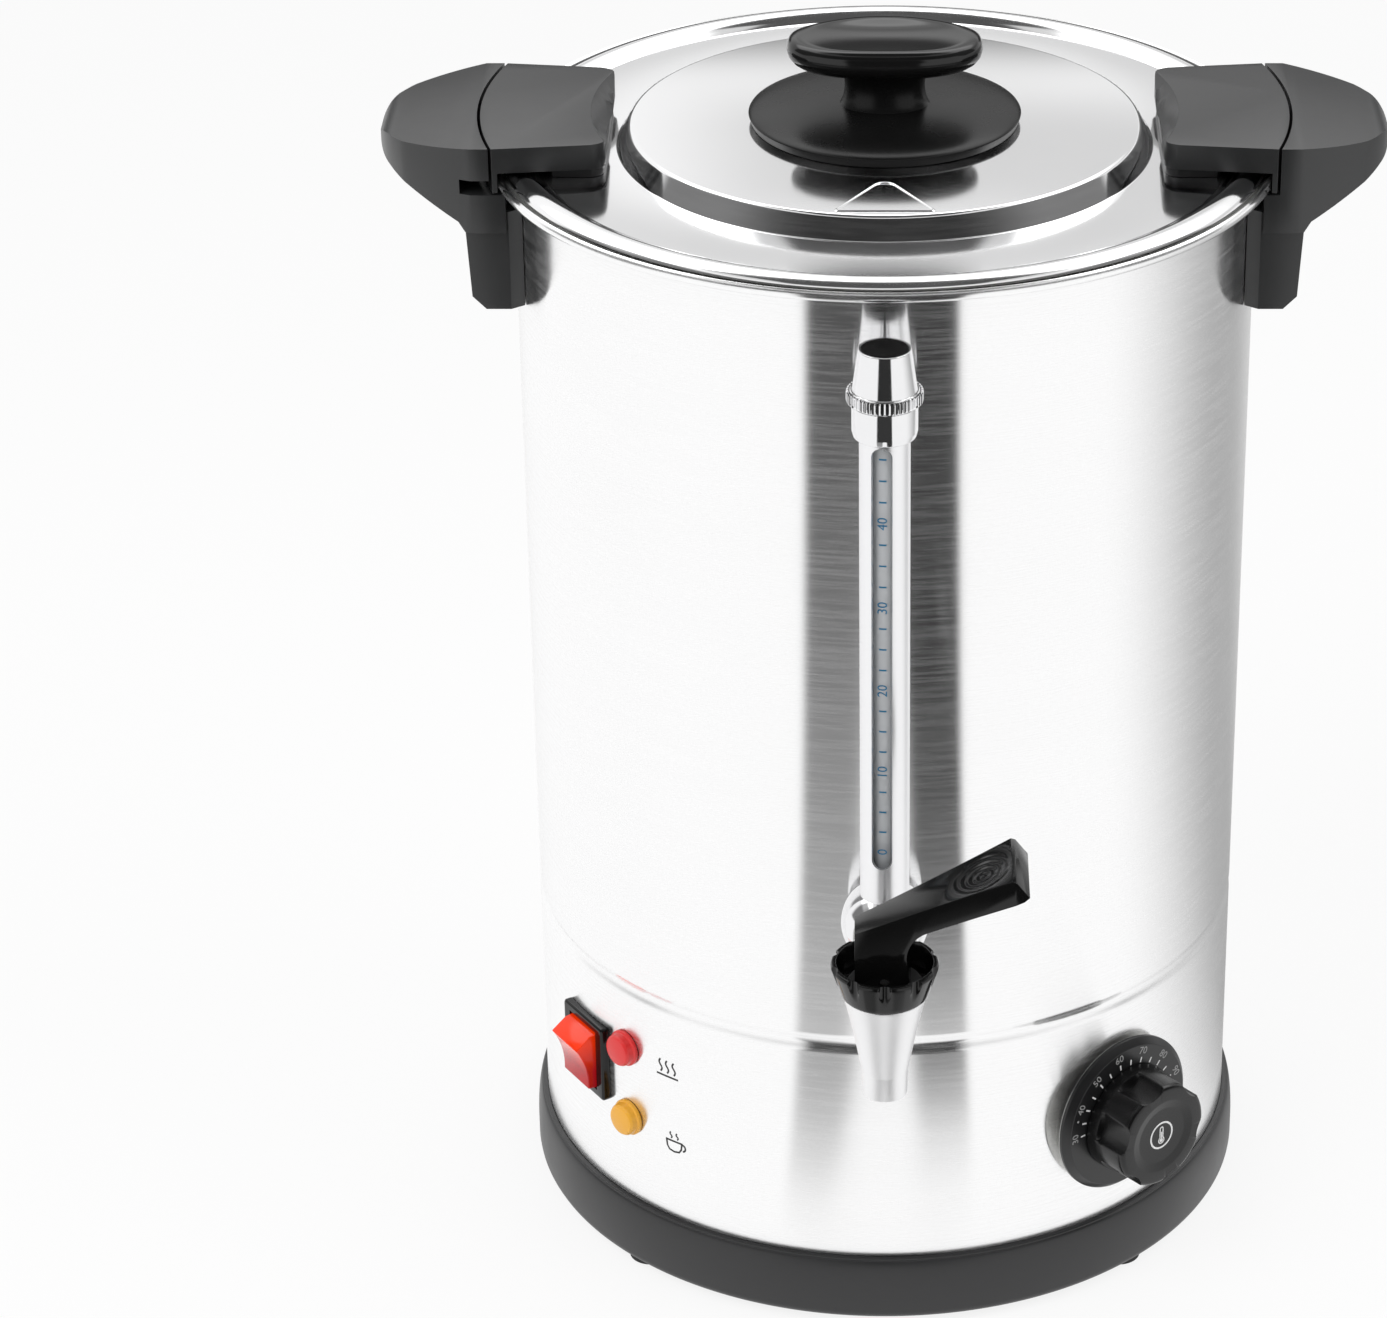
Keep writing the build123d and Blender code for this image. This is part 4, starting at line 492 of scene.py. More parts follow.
# ------------------------------------------------------------------ repeated shapes
@dataclass(frozen=True)
class Repeat:
    """Copies of one shape round and along an axis, made by a node tree."""

    count: int
    turn: float = 0.0
    rise: float = 0.0
    start: float = 0.0

    def tree(self, material: bpy.types.Material) -> bpy.types.NodeTree:
        """Node tree with the count, turn, rise and start as its inputs.

        Args:
            material: what the copies are made of.

        Returns:
            The new tree.
        """
        tree = bpy.data.node_groups.new("repeat", "GeometryNodeTree")
        for label, way, kind in (
            ("Shape", "INPUT", "Geometry"), ("Count", "INPUT", "Int"), ("Turn", "INPUT", "Float"),
            ("Rise", "INPUT", "Float"), ("Start", "INPUT", "Float"), ("Shape", "OUTPUT", "Geometry"),
        ):
            tree.interface.new_socket(label, in_out=way, socket_type=f"NodeSocket{kind}")
        add = tree.nodes.new
        source, end, points = add("NodeGroupInput"), add("NodeGroupOutput"), add("GeometryNodePoints")
        index = add("GeometryNodeInputIndex")
        turned_by, raised_by = add("ShaderNodeMath"), add("ShaderNodeMath")
        turned_by.operation, raised_by.operation = "MULTIPLY_ADD", "MULTIPLY"
        spin, lift = add("ShaderNodeCombineXYZ"), add("ShaderNodeCombineXYZ")
        copies, moved = add("GeometryNodeInstanceOnPoints"), add("GeometryNodeTranslateInstances")
        solid, dressed = add("GeometryNodeRealizeInstances"), add("GeometryNodeSetMaterial")
        dressed.inputs["Material"].default_value = material
        for one, out, two, into in (
            (source, "Count", points, "Count"),
            (index, 0, turned_by, 0), (source, "Turn", turned_by, 1), (source, "Start", turned_by, 2),
            (index, 0, raised_by, 0), (source, "Rise", raised_by, 1),
            (turned_by, 0, spin, "Z"), (raised_by, 0, lift, "Z"),
            (points, 0, copies, "Points"), (source, "Shape", copies, "Instance"),
            (spin, 0, copies, "Rotation"),
            (copies, 0, moved, "Instances"), (lift, 0, moved, "Translation"),
            (moved, 0, solid, 0), (solid, 0, dressed, "Geometry"), (dressed, 0, end, 0),
        ):
            tree.links.new(one.outputs[out], two.inputs[into])
        return tree

    def made(self, shape: Piece, place: Matrix, finish: Finish) -> Piece:
        """Repeat a shape and put the result in its place.

        Args:
            shape: one copy, modelled round the z axis in metres.
            place: frame of the axis, in millimetres.
            finish: what the copies are made of.

        Returns:
            The shape's object, now holding every copy.
        """
        tree = self.tree(finish.material())
        copies = shape.modifiers.new("copies", "NODES")
        copies.node_group = tree
        values = {
            "Count": self.count, "Turn": math.radians(self.turn), "Rise": self.rise * MM,
            "Start": math.radians(self.start),
        }
        for item in tree.interface.items_tree:
            if item.in_out == "INPUT" and item.name in values:
                copies[item.identifier] = values[item.name]
        baked(shape)
        scaled = place.copy()
        scaled.translation = place.translation * MM
        shape.data.transform(scaled)
        shape.data.update()
        return shape


# ------------------------------------------------------------------ node trees
class Light(Enum):
    """What gives off a plain light."""

    WORLD = "Background"
    SURFACE = "Emission"


class Graph:
    """Short way to add and join the shader nodes of one tree."""

    MIX_SOCKETS = (0, 6, 7)
    MIX_RESULT = 2

    def __init__(self, tree: bpy.types.NodeTree) -> None:
        """Start with an empty tree."""
        self.tree = tree
        tree.nodes.clear()

    def feed(self, value: object, into: bpy.types.NodeSocket) -> None:
        """Join a level or a socket to an input, or set a number or colour there.

        Args:
            value: what goes in.
            into: the input.
        """
        if isinstance(value, Level):
            value = value.socket
        if isinstance(value, bpy.types.NodeSocket):
            self.tree.links.new(value, into)
        elif into.type == "RGBA":
            into.default_value = (*value, 1)
        else:
            into.default_value = value

    def add(self, kind: str, *inputs: object, **values: object) -> bpy.types.Node:
        """Add a node.

        Args:
            kind: the node's type.
            inputs: what goes into its first sockets.
            values: its settings in lower case, and what goes into its named sockets.

        Returns:
            The new node.
        """
        node = self.tree.nodes.new(f"ShaderNode{kind}")
        for value, socket in zip(inputs, node.inputs):
            self.feed(value, socket)
        for key, value in values.items():
            if key[0].islower():
                setattr(node, key, value)
            else:
                self.feed(value, node.inputs[key.replace("_", " ")])
        return node

    def where(self, kind: str = "Object", scale: Colour = (1, 1, 1)) -> bpy.types.NodeSocket:
        """Coordinates of a kind, scaled."""
        return self.add("Mapping", Vector=self.add("TexCoord").outputs[kind], Scale=scale).outputs[0]

    def split(self, where: bpy.types.NodeSocket) -> list[Level]:
        """The three parts of a vector."""
        return [Level(self, part) for part in self.add("SeparateXYZ", where).outputs]

    def noise(self, scale: Colour, detail: float = 3.0) -> Level:
        """Noise on object coordinates, at so many cycles to the metre."""
        node = self.add("TexNoise", Vector=self.where(scale=scale), Scale=1.0, Detail=detail, Roughness=0.6)
        return Level(self, node.outputs["Fac"])

    def mix(self, share: object, one: object, two: object) -> Level:
        """Mix two colours.

        Args:
            share: how much of the second one.
            one: a colour or a level.
            two: a colour or a level.

        Returns:
            The mixed colour.
        """
        node = self.add("Mix", data_type="RGBA")
        for place, value in zip(self.MIX_SOCKETS, (share, one, two)):
            self.feed(value, node.inputs[place])
        return Level(self, node.outputs[self.MIX_RESULT])

    def bump(self, height: Level, strength: float, depth: float) -> bpy.types.NodeSocket:
        """Surface direction raised by a level, depth in metres."""
        return self.add("Bump", Height=height, Strength=strength, Distance=depth).outputs["Normal"]

    def glow(self, level: object, light: Light) -> bpy.types.NodeSocket:
        """A plain white light of a level."""
        return self.add(light.value, Color=(1, 1, 1), Strength=level).outputs[0]

    def blend(self, share: object, one: object, two: object) -> bpy.types.NodeSocket:
        """Mix two shaders by a share."""
        return self.add("MixShader", share, one, two).outputs[0]


@dataclass(frozen=True)
class Level:
    """A value in a node tree; sums on it add nodes to the tree."""

    graph: Graph
    socket: bpy.types.NodeSocket

    def sum(self, kind: str, *others: object) -> Level:
        """One sum on this value and others."""
        return Level(self.graph, self.graph.add("Math", self, *others, operation=kind).outputs[0])

    def __add__(self, other: object) -> Level:
        """This value and another."""
        return self.sum("ADD", other)

    def __sub__(self, other: object) -> Level:
        """This value less another."""
        return self.sum("SUBTRACT", other)

    def __mul__(self, other: object) -> Level:
        """This value times another."""
        return self.sum("MULTIPLY", other)

    def __truediv__(self, other: object) -> Level:
        """This value over another."""
        return self.sum("DIVIDE", other)

    def __abs__(self) -> Level:
        """This value without its sign."""
        return self.sum("ABSOLUTE")

    def rest(self) -> Level:
        """What is missing from one."""
        return self * -1.0 + 1.0

    def most(self, other: object) -> Level:
        """The larger of two values."""
        return self.sum("MAXIMUM", other)

    def ranged(self, source: Pair, target: Pair, **values: object) -> Level:
        """Map one range of values to another."""
        node = self.graph.add("MapRange", self, *source, *target, **values)
        return Level(self.graph, node.outputs["Result"])

    def ramp(self, zero: float, one: float) -> Level:
        """Rise smoothly from 0 to 1.

        Args:
            zero: value at which the result is 0.
            one: value at which it is 1; it may be the smaller.

        Returns:
            The result.
        """
        low, high = min(zero, one), max(zero, one)
        target = (0.0, 1.0) if one > zero else (1.0, 0.0)
        return self.ranged((low, high), target, interpolation_type="SMOOTHSTEP")


# ------------------------------------------------------------------ finishes
NOISE_SPAN = (0.3, 0.7)


def around(middle: float, share: float) -> Pair:
    """Ends of a range that reaches a share to each side of its middle."""
    return (middle * (1 - share), middle * (1 + share))


def shaded(colour: Colour, share: float) -> Colour:
    """A colour darkened or lightened, up to white."""
    return tuple(min(1.0, share * part) for part in colour)


@dataclass(frozen=True)
class Finish:
    """A finish; each kind has its own sockets."""

    name: str

    def material(self) -> bpy.types.Material:
        """The material, made the first time it is asked for.

        Returns:
            A material with one surface shader.
        """
        made = bpy.data.materials.get(self.name)
        if made is None:
            made = bpy.data.materials.new(self.name)
            made.use_nodes = True
            graph = Graph(made.node_tree)
            graph.add("OutputMaterial", graph.add("BsdfPrincipled", **self.sockets(graph)).outputs["BSDF"])
        return made

    def sockets(self, graph: Graph) -> dict[str, object]:
        """What goes into the surface shader.

        Args:
            graph: the material's node tree.

        Returns:
            The number, colour, level or socket for each of the shader's inputs.
        """
        raise NotImplementedError


@dataclass(frozen=True)
class BrushedSteel(Finish):
    """Stainless sheet brushed round the axis."""

    colour: Colour = (0.985, 0.985, 0.987)
    roughness: float = 0.17
    stretch: float = 1.0
    lines: float = 1600.0
    streak: float = 0.02
    drift: float = 0.06
    depth: float = 0.0000025
    haze: float = 0.09
    patches: Colour = (50, 7, 60)
    haze_span: Pair = (0.42, 0.62)
    across: float = 0.25
    bite: float = 0.5

    def sockets(self, graph: Graph) -> dict[str, object]:
        """Fine brush lines, a slow drift of gloss and a stretched highlight.

        Args:
            graph: the material's node tree.

        Returns:
            What each of the shader's inputs gets.
        """
        wide, slow, tall = self.patches
        fine = graph.noise((wide, wide, self.lines), detail=2.0)
        broad = graph.noise((slow, slow, tall), detail=2.0)
        return {
            "Base_Color": graph.mix(fine, shaded(self.colour, 1 - self.streak), self.colour),
            "Roughness": broad.ranged(NOISE_SPAN, around(self.roughness, self.drift)),
            "Normal": graph.bump(fine, self.bite, self.depth),
            "Metallic": fine.ranged(self.haze_span, (1.0, 1.0 - self.haze)),
            "Anisotropic": self.stretch,
            "Anisotropic_Rotation": self.across,
            "Tangent": graph.add("Tangent", direction_type="RADIAL", axis="Z").outputs[0],
        }


@dataclass(frozen=True)
class PlainMetal(Finish):
    """Metal with an even finish: chrome plate, castings, zinc-plated screws."""

    colour: Colour = (0.9, 0.9, 0.91)
    roughness: float = 0.06
    wear: float = 0.04
    grain_size: float = 300.0
    depth: float = 0.000004
    wear_span: Pair = (0.35, 0.65)
    dulled: float = 0.96
    bite: float = 0.3

    def sockets(self, graph: Graph) -> dict[str, object]:
        """Faint ripples of the plate and a slight drift in gloss.

        Args:
            graph: the material's node tree.

        Returns:
            What each of the shader's inputs gets.
        """
        noise = graph.noise((self.grain_size,) * 3)
        return {
            "Roughness": noise.ranged(self.wear_span, (self.roughness, self.roughness + self.wear)),
            "Base_Color": graph.mix(noise, shaded(self.colour, self.dulled), self.colour),
            "Normal": graph.bump(noise, self.bite, self.depth),
            "Metallic": 1.0,
        }


@dataclass(frozen=True)
class Moulding(Finish):
    """Moulded plastic or rubber with a fine skin and faint handling marks."""

    colour: Colour = (0.02, 0.02, 0.021)
    roughness: float = 0.45
    wear: float = 0.08
    skin: float = 2600.0
    depth: float = 0.00002
    ior: float = 1.5
    clouds: float = 38.0
    tones: Pair = (0.82, 1.18)
    bite: float = 0.35

    def sockets(self, graph: Graph) -> dict[str, object]:
        """Spark-eroded skin, cloudy gloss and a slight drift of tone.

        Args:
            graph: the material's node tree.

        Returns:
            What each of the shader's inputs gets.
        """
        cloud = graph.noise((self.clouds,) * 3, detail=5.0)
        gloss = (self.roughness - self.wear / 2, self.roughness + self.wear / 2)
        return {
            "Roughness": cloud.ranged(NOISE_SPAN, gloss),
            "Base_Color": graph.mix(cloud, *(shaded(self.colour, tone) for tone in self.tones)),
            "Normal": graph.bump(graph.noise((self.skin,) * 3, detail=2.0), self.bite, self.depth),
            "IOR": self.ior,
        }


@dataclass(frozen=True)
class Tinted(Finish):
    """Clear or tinted plastic that light passes through."""

    colour: Colour = (0.8, 0.05, 0.03)
    through: float = 0.5
    roughness: float = 0.12
    glow: float = 0.0
    ribs: float = 900.0
    low: float = 1.0
    high: float = 1.25
    ior: float = 1.49
    # top: lighter colour blended in over the height range, painted light on the upper faces
    top: Colour | None = None
    height: Pair = (0.0, 1.0)
    clouds: float = 400.0
    wear: float = 0.2
    bite: float = 0.2
    depth: float = 0.00001

    def sockets(self, graph: Graph) -> dict[str, object]:
        """Body colour with inner facets that show as small changes of tone, and, where a top colour is given,
        painted light that makes the upper part lighter.

        Args:
            graph: the material's node tree.

        Returns:
            What each of the shader's inputs gets.
        """
        facets = graph.add("TexVoronoi", Vector=graph.where(scale=(self.ribs,) * 3), Scale=1.0)
        ends = (shaded(self.colour, share) for share in (self.low, self.high))
        tone = graph.mix(facets.outputs["Distance"], *ends)
        # painted light: the upper part takes the lighter top colour, the lower part stays as the shaded base
        # colour
        if self.top:
            tone = graph.mix(graph.split(graph.where())[2].ranged(self.height, (0.0, 1.0)), tone, self.top)
        soft = graph.noise((self.clouds,) * 3)
        return {
            "Base_Color": tone,
            "Emission_Color": tone,
            "Emission_Strength": self.glow,
            "Roughness": soft.ranged(NOISE_SPAN, around(self.roughness, self.wear)),
            "Normal": graph.bump(soft, self.bite, self.depth),
            "Transmission_Weight": self.through,
            "IOR": self.ior,
        }


@dataclass(frozen=True)
class Ink(Finish):
    """Printed ink with a slightly broken edge of tone."""

    colour: Colour = (0.02, 0.02, 0.02)
    roughness: float = 0.5
    wear: float = 0.1
    screen: float = 3000.0
    thin: float = 0.88

    def sockets(self, graph: Graph) -> dict[str, object]:
        """Flat pigment with a trace of screen grain.

        Args:
            graph: the material's node tree.

        Returns:
            What each of the shader's inputs gets.
        """
        grain = graph.noise((self.screen,) * 3, detail=1.0)
        return {
            "Base_Color": graph.mix(grain, shaded(self.colour, self.thin), self.colour),
            "Roughness": grain.ranged(NOISE_SPAN, around(self.roughness, self.wear)),
        }


DRUM_STEEL = BrushedSteel("drum_steel")
LID_STEEL = BrushedSteel(
    "lid_steel", (0.94, 0.94, 0.945), 0.1, stretch=0.5, lines=900.0, depth=0.000002, haze=0.015
)
INNER_STEEL = BrushedSteel("inner_steel", (0.62, 0.62, 0.63), 0.32, stretch=0.4, streak=0.1)
CHROME = PlainMetal("chrome_plate")
SATIN_CHROME = PlainMetal("satin_chrome", (0.97, 0.97, 0.975), 0.45, wear=0.03)
SLEEVE_CHROME = PlainMetal("sleeve_chrome", (0.94, 0.94, 0.95), 0.3, wear=0.03)
CAST_ALUMINIUM = PlainMetal("cast_aluminium", (0.55, 0.56, 0.57), 0.45, wear=0.15, depth=0.00008)
# nearly black metal under the knurl teeth: painted shade for the gaps between them
KNURL_PAINTED_SHADE = PlainMetal("knurl_painted_shade", (0.06, 0.06, 0.062), 0.35)
SHEATH = PlainMetal("element_sheath", (0.3, 0.29, 0.28), 0.4, wear=0.15)
ZINC = PlainMetal("zinc_plate", (0.62, 0.62, 0.6), 0.3, wear=0.12, depth=0.00002)
HANDLE_PLASTIC = Moulding("handle_plastic", (0.016, 0.0165, 0.017), 0.36, ior=1.6)
RING_PLASTIC = Moulding("ring_plastic", (0.022, 0.022, 0.023), 0.4)
GLOSS_PLASTIC = Moulding("gloss_plastic", (0.004, 0.004, 0.004), 0.12, 0.05, depth=0.000004, ior=1.42)
KNOB_PLASTIC = Moulding("knob_plastic", (0.006, 0.006, 0.006), 0.12, 0.03, depth=0.000003, ior=1.45)
FOOT_PLASTIC = Moulding("knob_foot_plastic", (0.006, 0.006, 0.006), 0.27, depth=0.000006, ior=1.3)
DIAL_PLASTIC = Moulding("dial_plastic", (0.01, 0.01, 0.0105), 0.3, depth=0.00001)
GRIP_PLASTIC = Moulding("dial_grip_plastic", (0.004, 0.004, 0.0042), 0.22, depth=0.000006, ior=1.46)
RUBBER = Moulding("soft_rubber", (0.03, 0.03, 0.03), 0.75, depth=0.00004)
SILICONE = Moulding("seal_silicone", (0.6, 0.6, 0.58), 0.55)
TUBE_PLASTIC = Tinted("gauge_tube", (0.86, 0.86, 0.9), 0.75, 0.1, ribs=60.0)
RED_LENS = Tinted("red_lens", (0.32, 0.007, 0.018), 0.0, 0.16, ribs=700.0, low=0.4, ior=1.35)
# rocker: dark red low down and bright orange at the top end; the orange top is painted light on the end face
# that catches the light
ROCKER_RED_PAINTED_TOP = Tinted(
    "rocker_red_painted_top", (0.4, 0.004, 0.008), 0.1, glow=0.14, ribs=200.0, ior=1.4, top=(0.95, 0.04, 0.002),
    height=(0.064, 0.074),
)
AMBER_LENS = Tinted("amber_lens", (0.38, 0.082, 0.001), 0.0, 0.14, ribs=700.0, low=0.4, ior=1.35)
WHITE_INK = Ink("white_ink", (0.82, 0.82, 0.82))
GREY_INK = Ink("grey_ink", (0.34, 0.34, 0.34))
BLACK_INK = Ink("black_ink")
BLUE_INK = Ink("blue_ink", (0.008, 0.15, 0.3))


def dress(
    piece: Piece, finish: Finish, body: str, replaces: Sequence[str] = ()
) -> Piece:
    """Give a piece its finish and its place in the object.

    Args:
        piece: the finished mesh object.
        finish: what it is made of.
        body: the moving body that it belongs to.
        replaces: CAD nodes that it stands for.

    Returns:
        The same piece.
    """
    piece.data.materials.clear()
    piece.data.materials.append(finish.material())
    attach(piece, body)
    if replaces:
        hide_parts(*replaces)
    LOG.info("%s: %d faces, rides on %s", piece.name, len(piece.data.polygons), body)
    return piece


# ------------------------------------------------------------------ drum and base
@dataclass
class Drum:
    """The brushed sheet drum with its rolled rim and pressed groove, and the ring it stands in."""

    radius: float = 110.0
    sheet: float = 0.8
    bottom: float = 5.0
    flange: float = 9.0
    groove: float = 99.5
    groove_half: float = 3.5
    groove_depth: float = 1.0
    rim: float = 345.0
    bead_circle: float = 115.5
    bead: float = 1.6
    ring_bottom: float = 2.0
    ring_shoulder: float = 9.0
    ring_top: float = 23.5
    ring_bulge: float = 3.4
    ring_lip: float = 1.6
    lip_tall: float = 0.6
    gap: float = 0.15
    ledge: float = 98.0
    ledge_top: float = 4.85

    def shell(self) -> Piece:
        """The drum as one turned sheet, folded in under the base and rolled at the rim."""
        r, t, flange = self.radius, self.sheet, self.radius - self.flange
        low, high = self.groove - self.groove_half, self.groove + self.groove_half
        level = self.rim + t / 2
        depths = [self.groove_depth * (0.5 - 0.5 * math.cos(a)) for a in span(0, FULL, 16)]
        groove = [(r - depth, z) for depth, z in zip(depths, span(low, high, 16))]
        outline = rounded([(flange, self.bottom), (r, self.bottom, 1.0), (r, low)])[:-1] + groove
        bead = self.bead_circle
        outline += rounded([(r, high), (r, level - t, 1.0), (bead - self.bead * 0.8, level - t)])[1:]
        outline += arc(bead, self.rim, self.bead, 200, 434, 22)
        outline += rounded([(bead - 1.5, level), (r - t, level, 1.2), (r - t, high)])
        outline += [(x - t, z) for x, z in reversed(groove)]
        outline += rounded([(r - t, low), (r - t, self.bottom + t, 0.4), (flange, self.bottom + t)])[1:]
        return turned("drum_shell", outline, upright(), 320)

    def ring(self) -> Piece:
        """The moulded ring under the drum."""
        r, low, high, lip = self.radius, self.ring_bottom, self.ring_top, self.radius + self.ring_lip
        bulge, shoulder = r + self.ring_bulge, low + self.ring_shoulder
        tall = high - shoulder - self.lip_tall
        rise = [math.radians(a) for a in range(0, 91, 9)]
        outline = rounded(
            [
                (r + self.gap, self.ledge_top), (self.ledge, self.ledge_top, 0.4), (self.ledge, low, 0.4),
                (bulge, low, 3.0), (bulge, shoulder),
            ]
        )[:-1]
        outline += [(lip + (bulge - lip) * math.cos(a), shoulder + tall * math.sin(a)) for a in rise]
        outline += rounded([(lip, high - self.lip_tall), (lip, high, 0.5), (r + self.gap, high)])
        return turned("base_ring_moulding", outline, upright(), 256)

    def build(self) -> None:
        """Make and dress the drum and its ring."""
        dress(self.shell(), DRUM_STEEL, "urn", ["body_shell", "base_shell"])
        dress(self.ring(), RING_PLASTIC, "urn", ["base_ring"])


# ------------------------------------------------------------------ lid
@dataclass
class Lid:
    """The pressed lid with its knob."""

    flat: float = 345.9
    flat_radius: float = 103.5
    roll: float = 2.6
    edge: float = 114.2
    foot: float = 79.0
    top_radius: float = 75.5
    rise: float = 6.8
    sheet: float = 0.8
    skirt: float = 107.6
    skirt_depth: float = 8.0
    mark_side: float = 30.0
    mark_tip: float = 46.5
    mark_rise: float = 0.35
    mark_width: float = 1.2
    disc: float = 40.2
    disc_lift: float = 0.15
    disc_edge: float = 2.4
    disc_rise: float = 5.4
    stem: Pair = (13.5, 10.5)
    stem_sunk: Pair = (0.5, 0.4)
    waist: float = 1.7
    cap_half: Pair = (28.75, 18.0)
    cap_bottom: float = 369.2
    cap_top: float = 379.8
    cap_dish: float = 2.4
    cap_crown: float = 0.9
    cap_low: float = 7.0
    cap_square: float = 2.25
    cap_lip: float = 2.8

    def pan(self) -> Piece:
        """The lid sheet: plateau, flat ring, rolled edge and the skirt inside the rim."""
        top, flat, t, start = self.flat + self.rise, self.flat, self.sheet, self.flat_radius
        shares = span(0, 1, 20)[1:-1]
        heights = [flat + self.roll * math.sin(math.pi * share**0.9 * 0.86) for share in shares]
        crown = [(start + (self.edge - start) * share, z) for share, z in zip(shares, heights)]
        plateau = [(0, top), (self.top_radius, top, 1.6), (self.foot, flat, 0.7), (start, flat, 0.35)]
        upper = rounded(plateau + [(start + 1.6, flat + 0.9)])[:-1]
        upper += [point for point in crown if point[0] > start + 0.6]
        lower = [(x, z - t) for x, z in reversed(upper) if x < self.edge - 1.2]
        bm = bmesh.new()
        lathe(bm, upper + [(self.edge, flat + 0.6), (self.edge - 0.5, flat + 0.35)] + lower, upright(), 320)
        skirt_top = flat + self.roll - t
        lathe(bm, sleeve(self.skirt - t, self.skirt, skirt_top - self.skirt_depth, skirt_top), upright(), 200)
        return finish_mesh(bm, "lid_pan")

    def mark(self) -> Piece:
        """The triangular ridge pressed up in front of the knob."""
        depth = self.mark_side * math.sin(math.radians(60))
        half, back = self.mark_side / 2, -self.mark_tip - depth
        corners = [(0, -self.mark_tip, 3.6), (-half, back, 1.0), (half, back, 1.0)]
        middle = Vector((0, -self.mark_tip - depth * 0.62))
        points = [Vector(point) for point in rounded(corners, closed=True, steps=6)]
        ways = [(point, (middle - point).normalized()) for point in points]
        base = self.flat + self.rise
        profile = (0.0, -0.4), (0.0, 0.1), (0.25, 0.75), (0.5, 1.0), (0.75, 0.75), (1.0, 0.1), (1.0, -0.4)
        rings = [
            [(*(point + way * inset * self.mark_width), base + up * self.mark_rise) for point, way in ways]
            for inset, up in profile
        ]
        return loft("lid_mark", rings, loop=True)

    def knob_foot(self) -> Piece:
        """The domed disc under the knob."""
        base = self.flat + self.rise + self.disc_lift
        edge, dome = base + self.disc_edge, self.disc_rise - self.disc_edge
        outline = rounded([(0, base), (self.disc - 0.8, base, 0.3), (self.disc, edge)])[:-1]
        rise = [math.radians(a) for a in range(0, 91, 6)]
        outline += [(self.disc * math.cos(a) ** 0.9, edge + dome * math.sin(a)) for a in rise]
        return turned("knob_foot", outline, upright(), 200)

    def knob_stem(self) -> Piece:
        """The waisted oval stem between the foot and the grip."""
        foot = self.flat + self.rise + self.disc_lift + self.disc_rise - self.stem_sunk[0]
        rings = []
        for share, z in zip(span(0, 1, 24), span(foot, self.cap_bottom + self.stem_sunk[1], 24)):
            long, short = (half - self.waist * math.sin(math.pi * share) ** 0.7 for half in self.stem)
            rings.append([(long * math.cos(a), short * math.sin(a), z) for a in turns(120)])
        return loft("lid_stem", rings, sharp=SOFT_SHARP)

    def grip_point(self, angle: float, inset: float, up: float, share: float) -> Vector:
        """Point of the grip's skin.

        Args:
            angle: angle round the knob.
            inset: how far inside the outline, a rounded oval.
            up: height over the grip's underside.
            share: how much of the dish and the crown counts there.

        Returns:
            The point.
        """
        (long, short), power = self.cap_half, 2 / self.cap_square
        x = (long - inset) * math.copysign(abs(math.cos(angle)) ** power, math.cos(angle))
        y = (short - inset) * math.copysign(abs(math.sin(angle)) ** power, math.sin(angle))
        side = short - self.cap_low if y > self.cap_low else short + self.cap_low
        along = max(0.0, 1 - ((y - self.cap_low) / side) ** 2)
        dish = self.cap_dish * along * (1 - (x / long) ** 2)
        crown = self.cap_crown * (x / long) ** 2
        return Vector((x, y, self.cap_bottom + up - (dish + crown) * share))

    def knob(self) -> Piece:
        """The oval grip with the dish for the palm; its lowest point lies behind the middle."""
        steps, tall, lip = 160, self.cap_top - self.cap_bottom, self.cap_lip
        rows = [
            (9.0, 0.0, 0.0), (5.6, 0.45, 0.0), (3.2, 1.3, 0.0), (1.5, 2.5, 0.0), (0.4, 4.0, 0.0),
            (0.0, 5.6, 0.0), (0.2, tall - 2.9, 0.2), (0.7, tall - 1.5, 0.5), (1.5, tall - 0.6, 0.8),
            (lip, tall - 0.1, 1.0),
        ]
        rows += [(inset, tall, 1.0) for inset in span(lip, self.cap_half[1], 12)[1:-1]]
        bm = bmesh.new()
        made = skin(bm, [[self.grip_point(a, *row) for a in turns(steps)] for row in rows])
        bm.faces.new(made[0][::-1])
        last = made[-1]
        for i in range(steps // 2 - 1):
            bm.faces.new([last[-1 - i], last[i], last[i + 1], last[-2 - i]])
        return finish_mesh(bm, "lid_grip", SOFT_SHARP)

    def build(self) -> None:
        """Make and dress the lid."""
        dress(self.pan(), LID_STEEL, "lid", ["lid_disc"])
        dress(self.mark(), LID_STEEL, "lid")
        dress(self.knob_foot(), FOOT_PLASTIC, "lid", ["knob_base"])
        dress(self.knob_stem(), FOOT_PLASTIC, "lid")
        dress(self.knob(), KNOB_PLASTIC, "lid", ["lid_knob"])


# ------------------------------------------------------------------ handles
@dataclass
class Handles:
    """The side handles on the drum and the lugs of the lid that meet them."""

    edge: float = 1.6
    lug_edge: float = 1.3
    clamp_edge: float = 0.5

    def build(self) -> None:
        """Make and dress both handles, both lugs and their clamps."""
        for side in ("right", "left"):
            grip = eased_copy(f"grip_{side}", [f"handle_{side}"], self.edge, 4)
            dress(grip, HANDLE_PLASTIC, "urn", [f"handle_{side}"])
            lug = eased_copy(f"lid_lug_{side}", [f"lug_{side}"], self.lug_edge, 4)
            dress(lug, HANDLE_PLASTIC, "lid", [f"lug_{side}"])
        clamps = eased_copy("lid_lug_clamps", ["lug_clamps"], self.clamp_edge)
        dress(clamps, RING_PLASTIC, "lid", ["lug_clamps"])


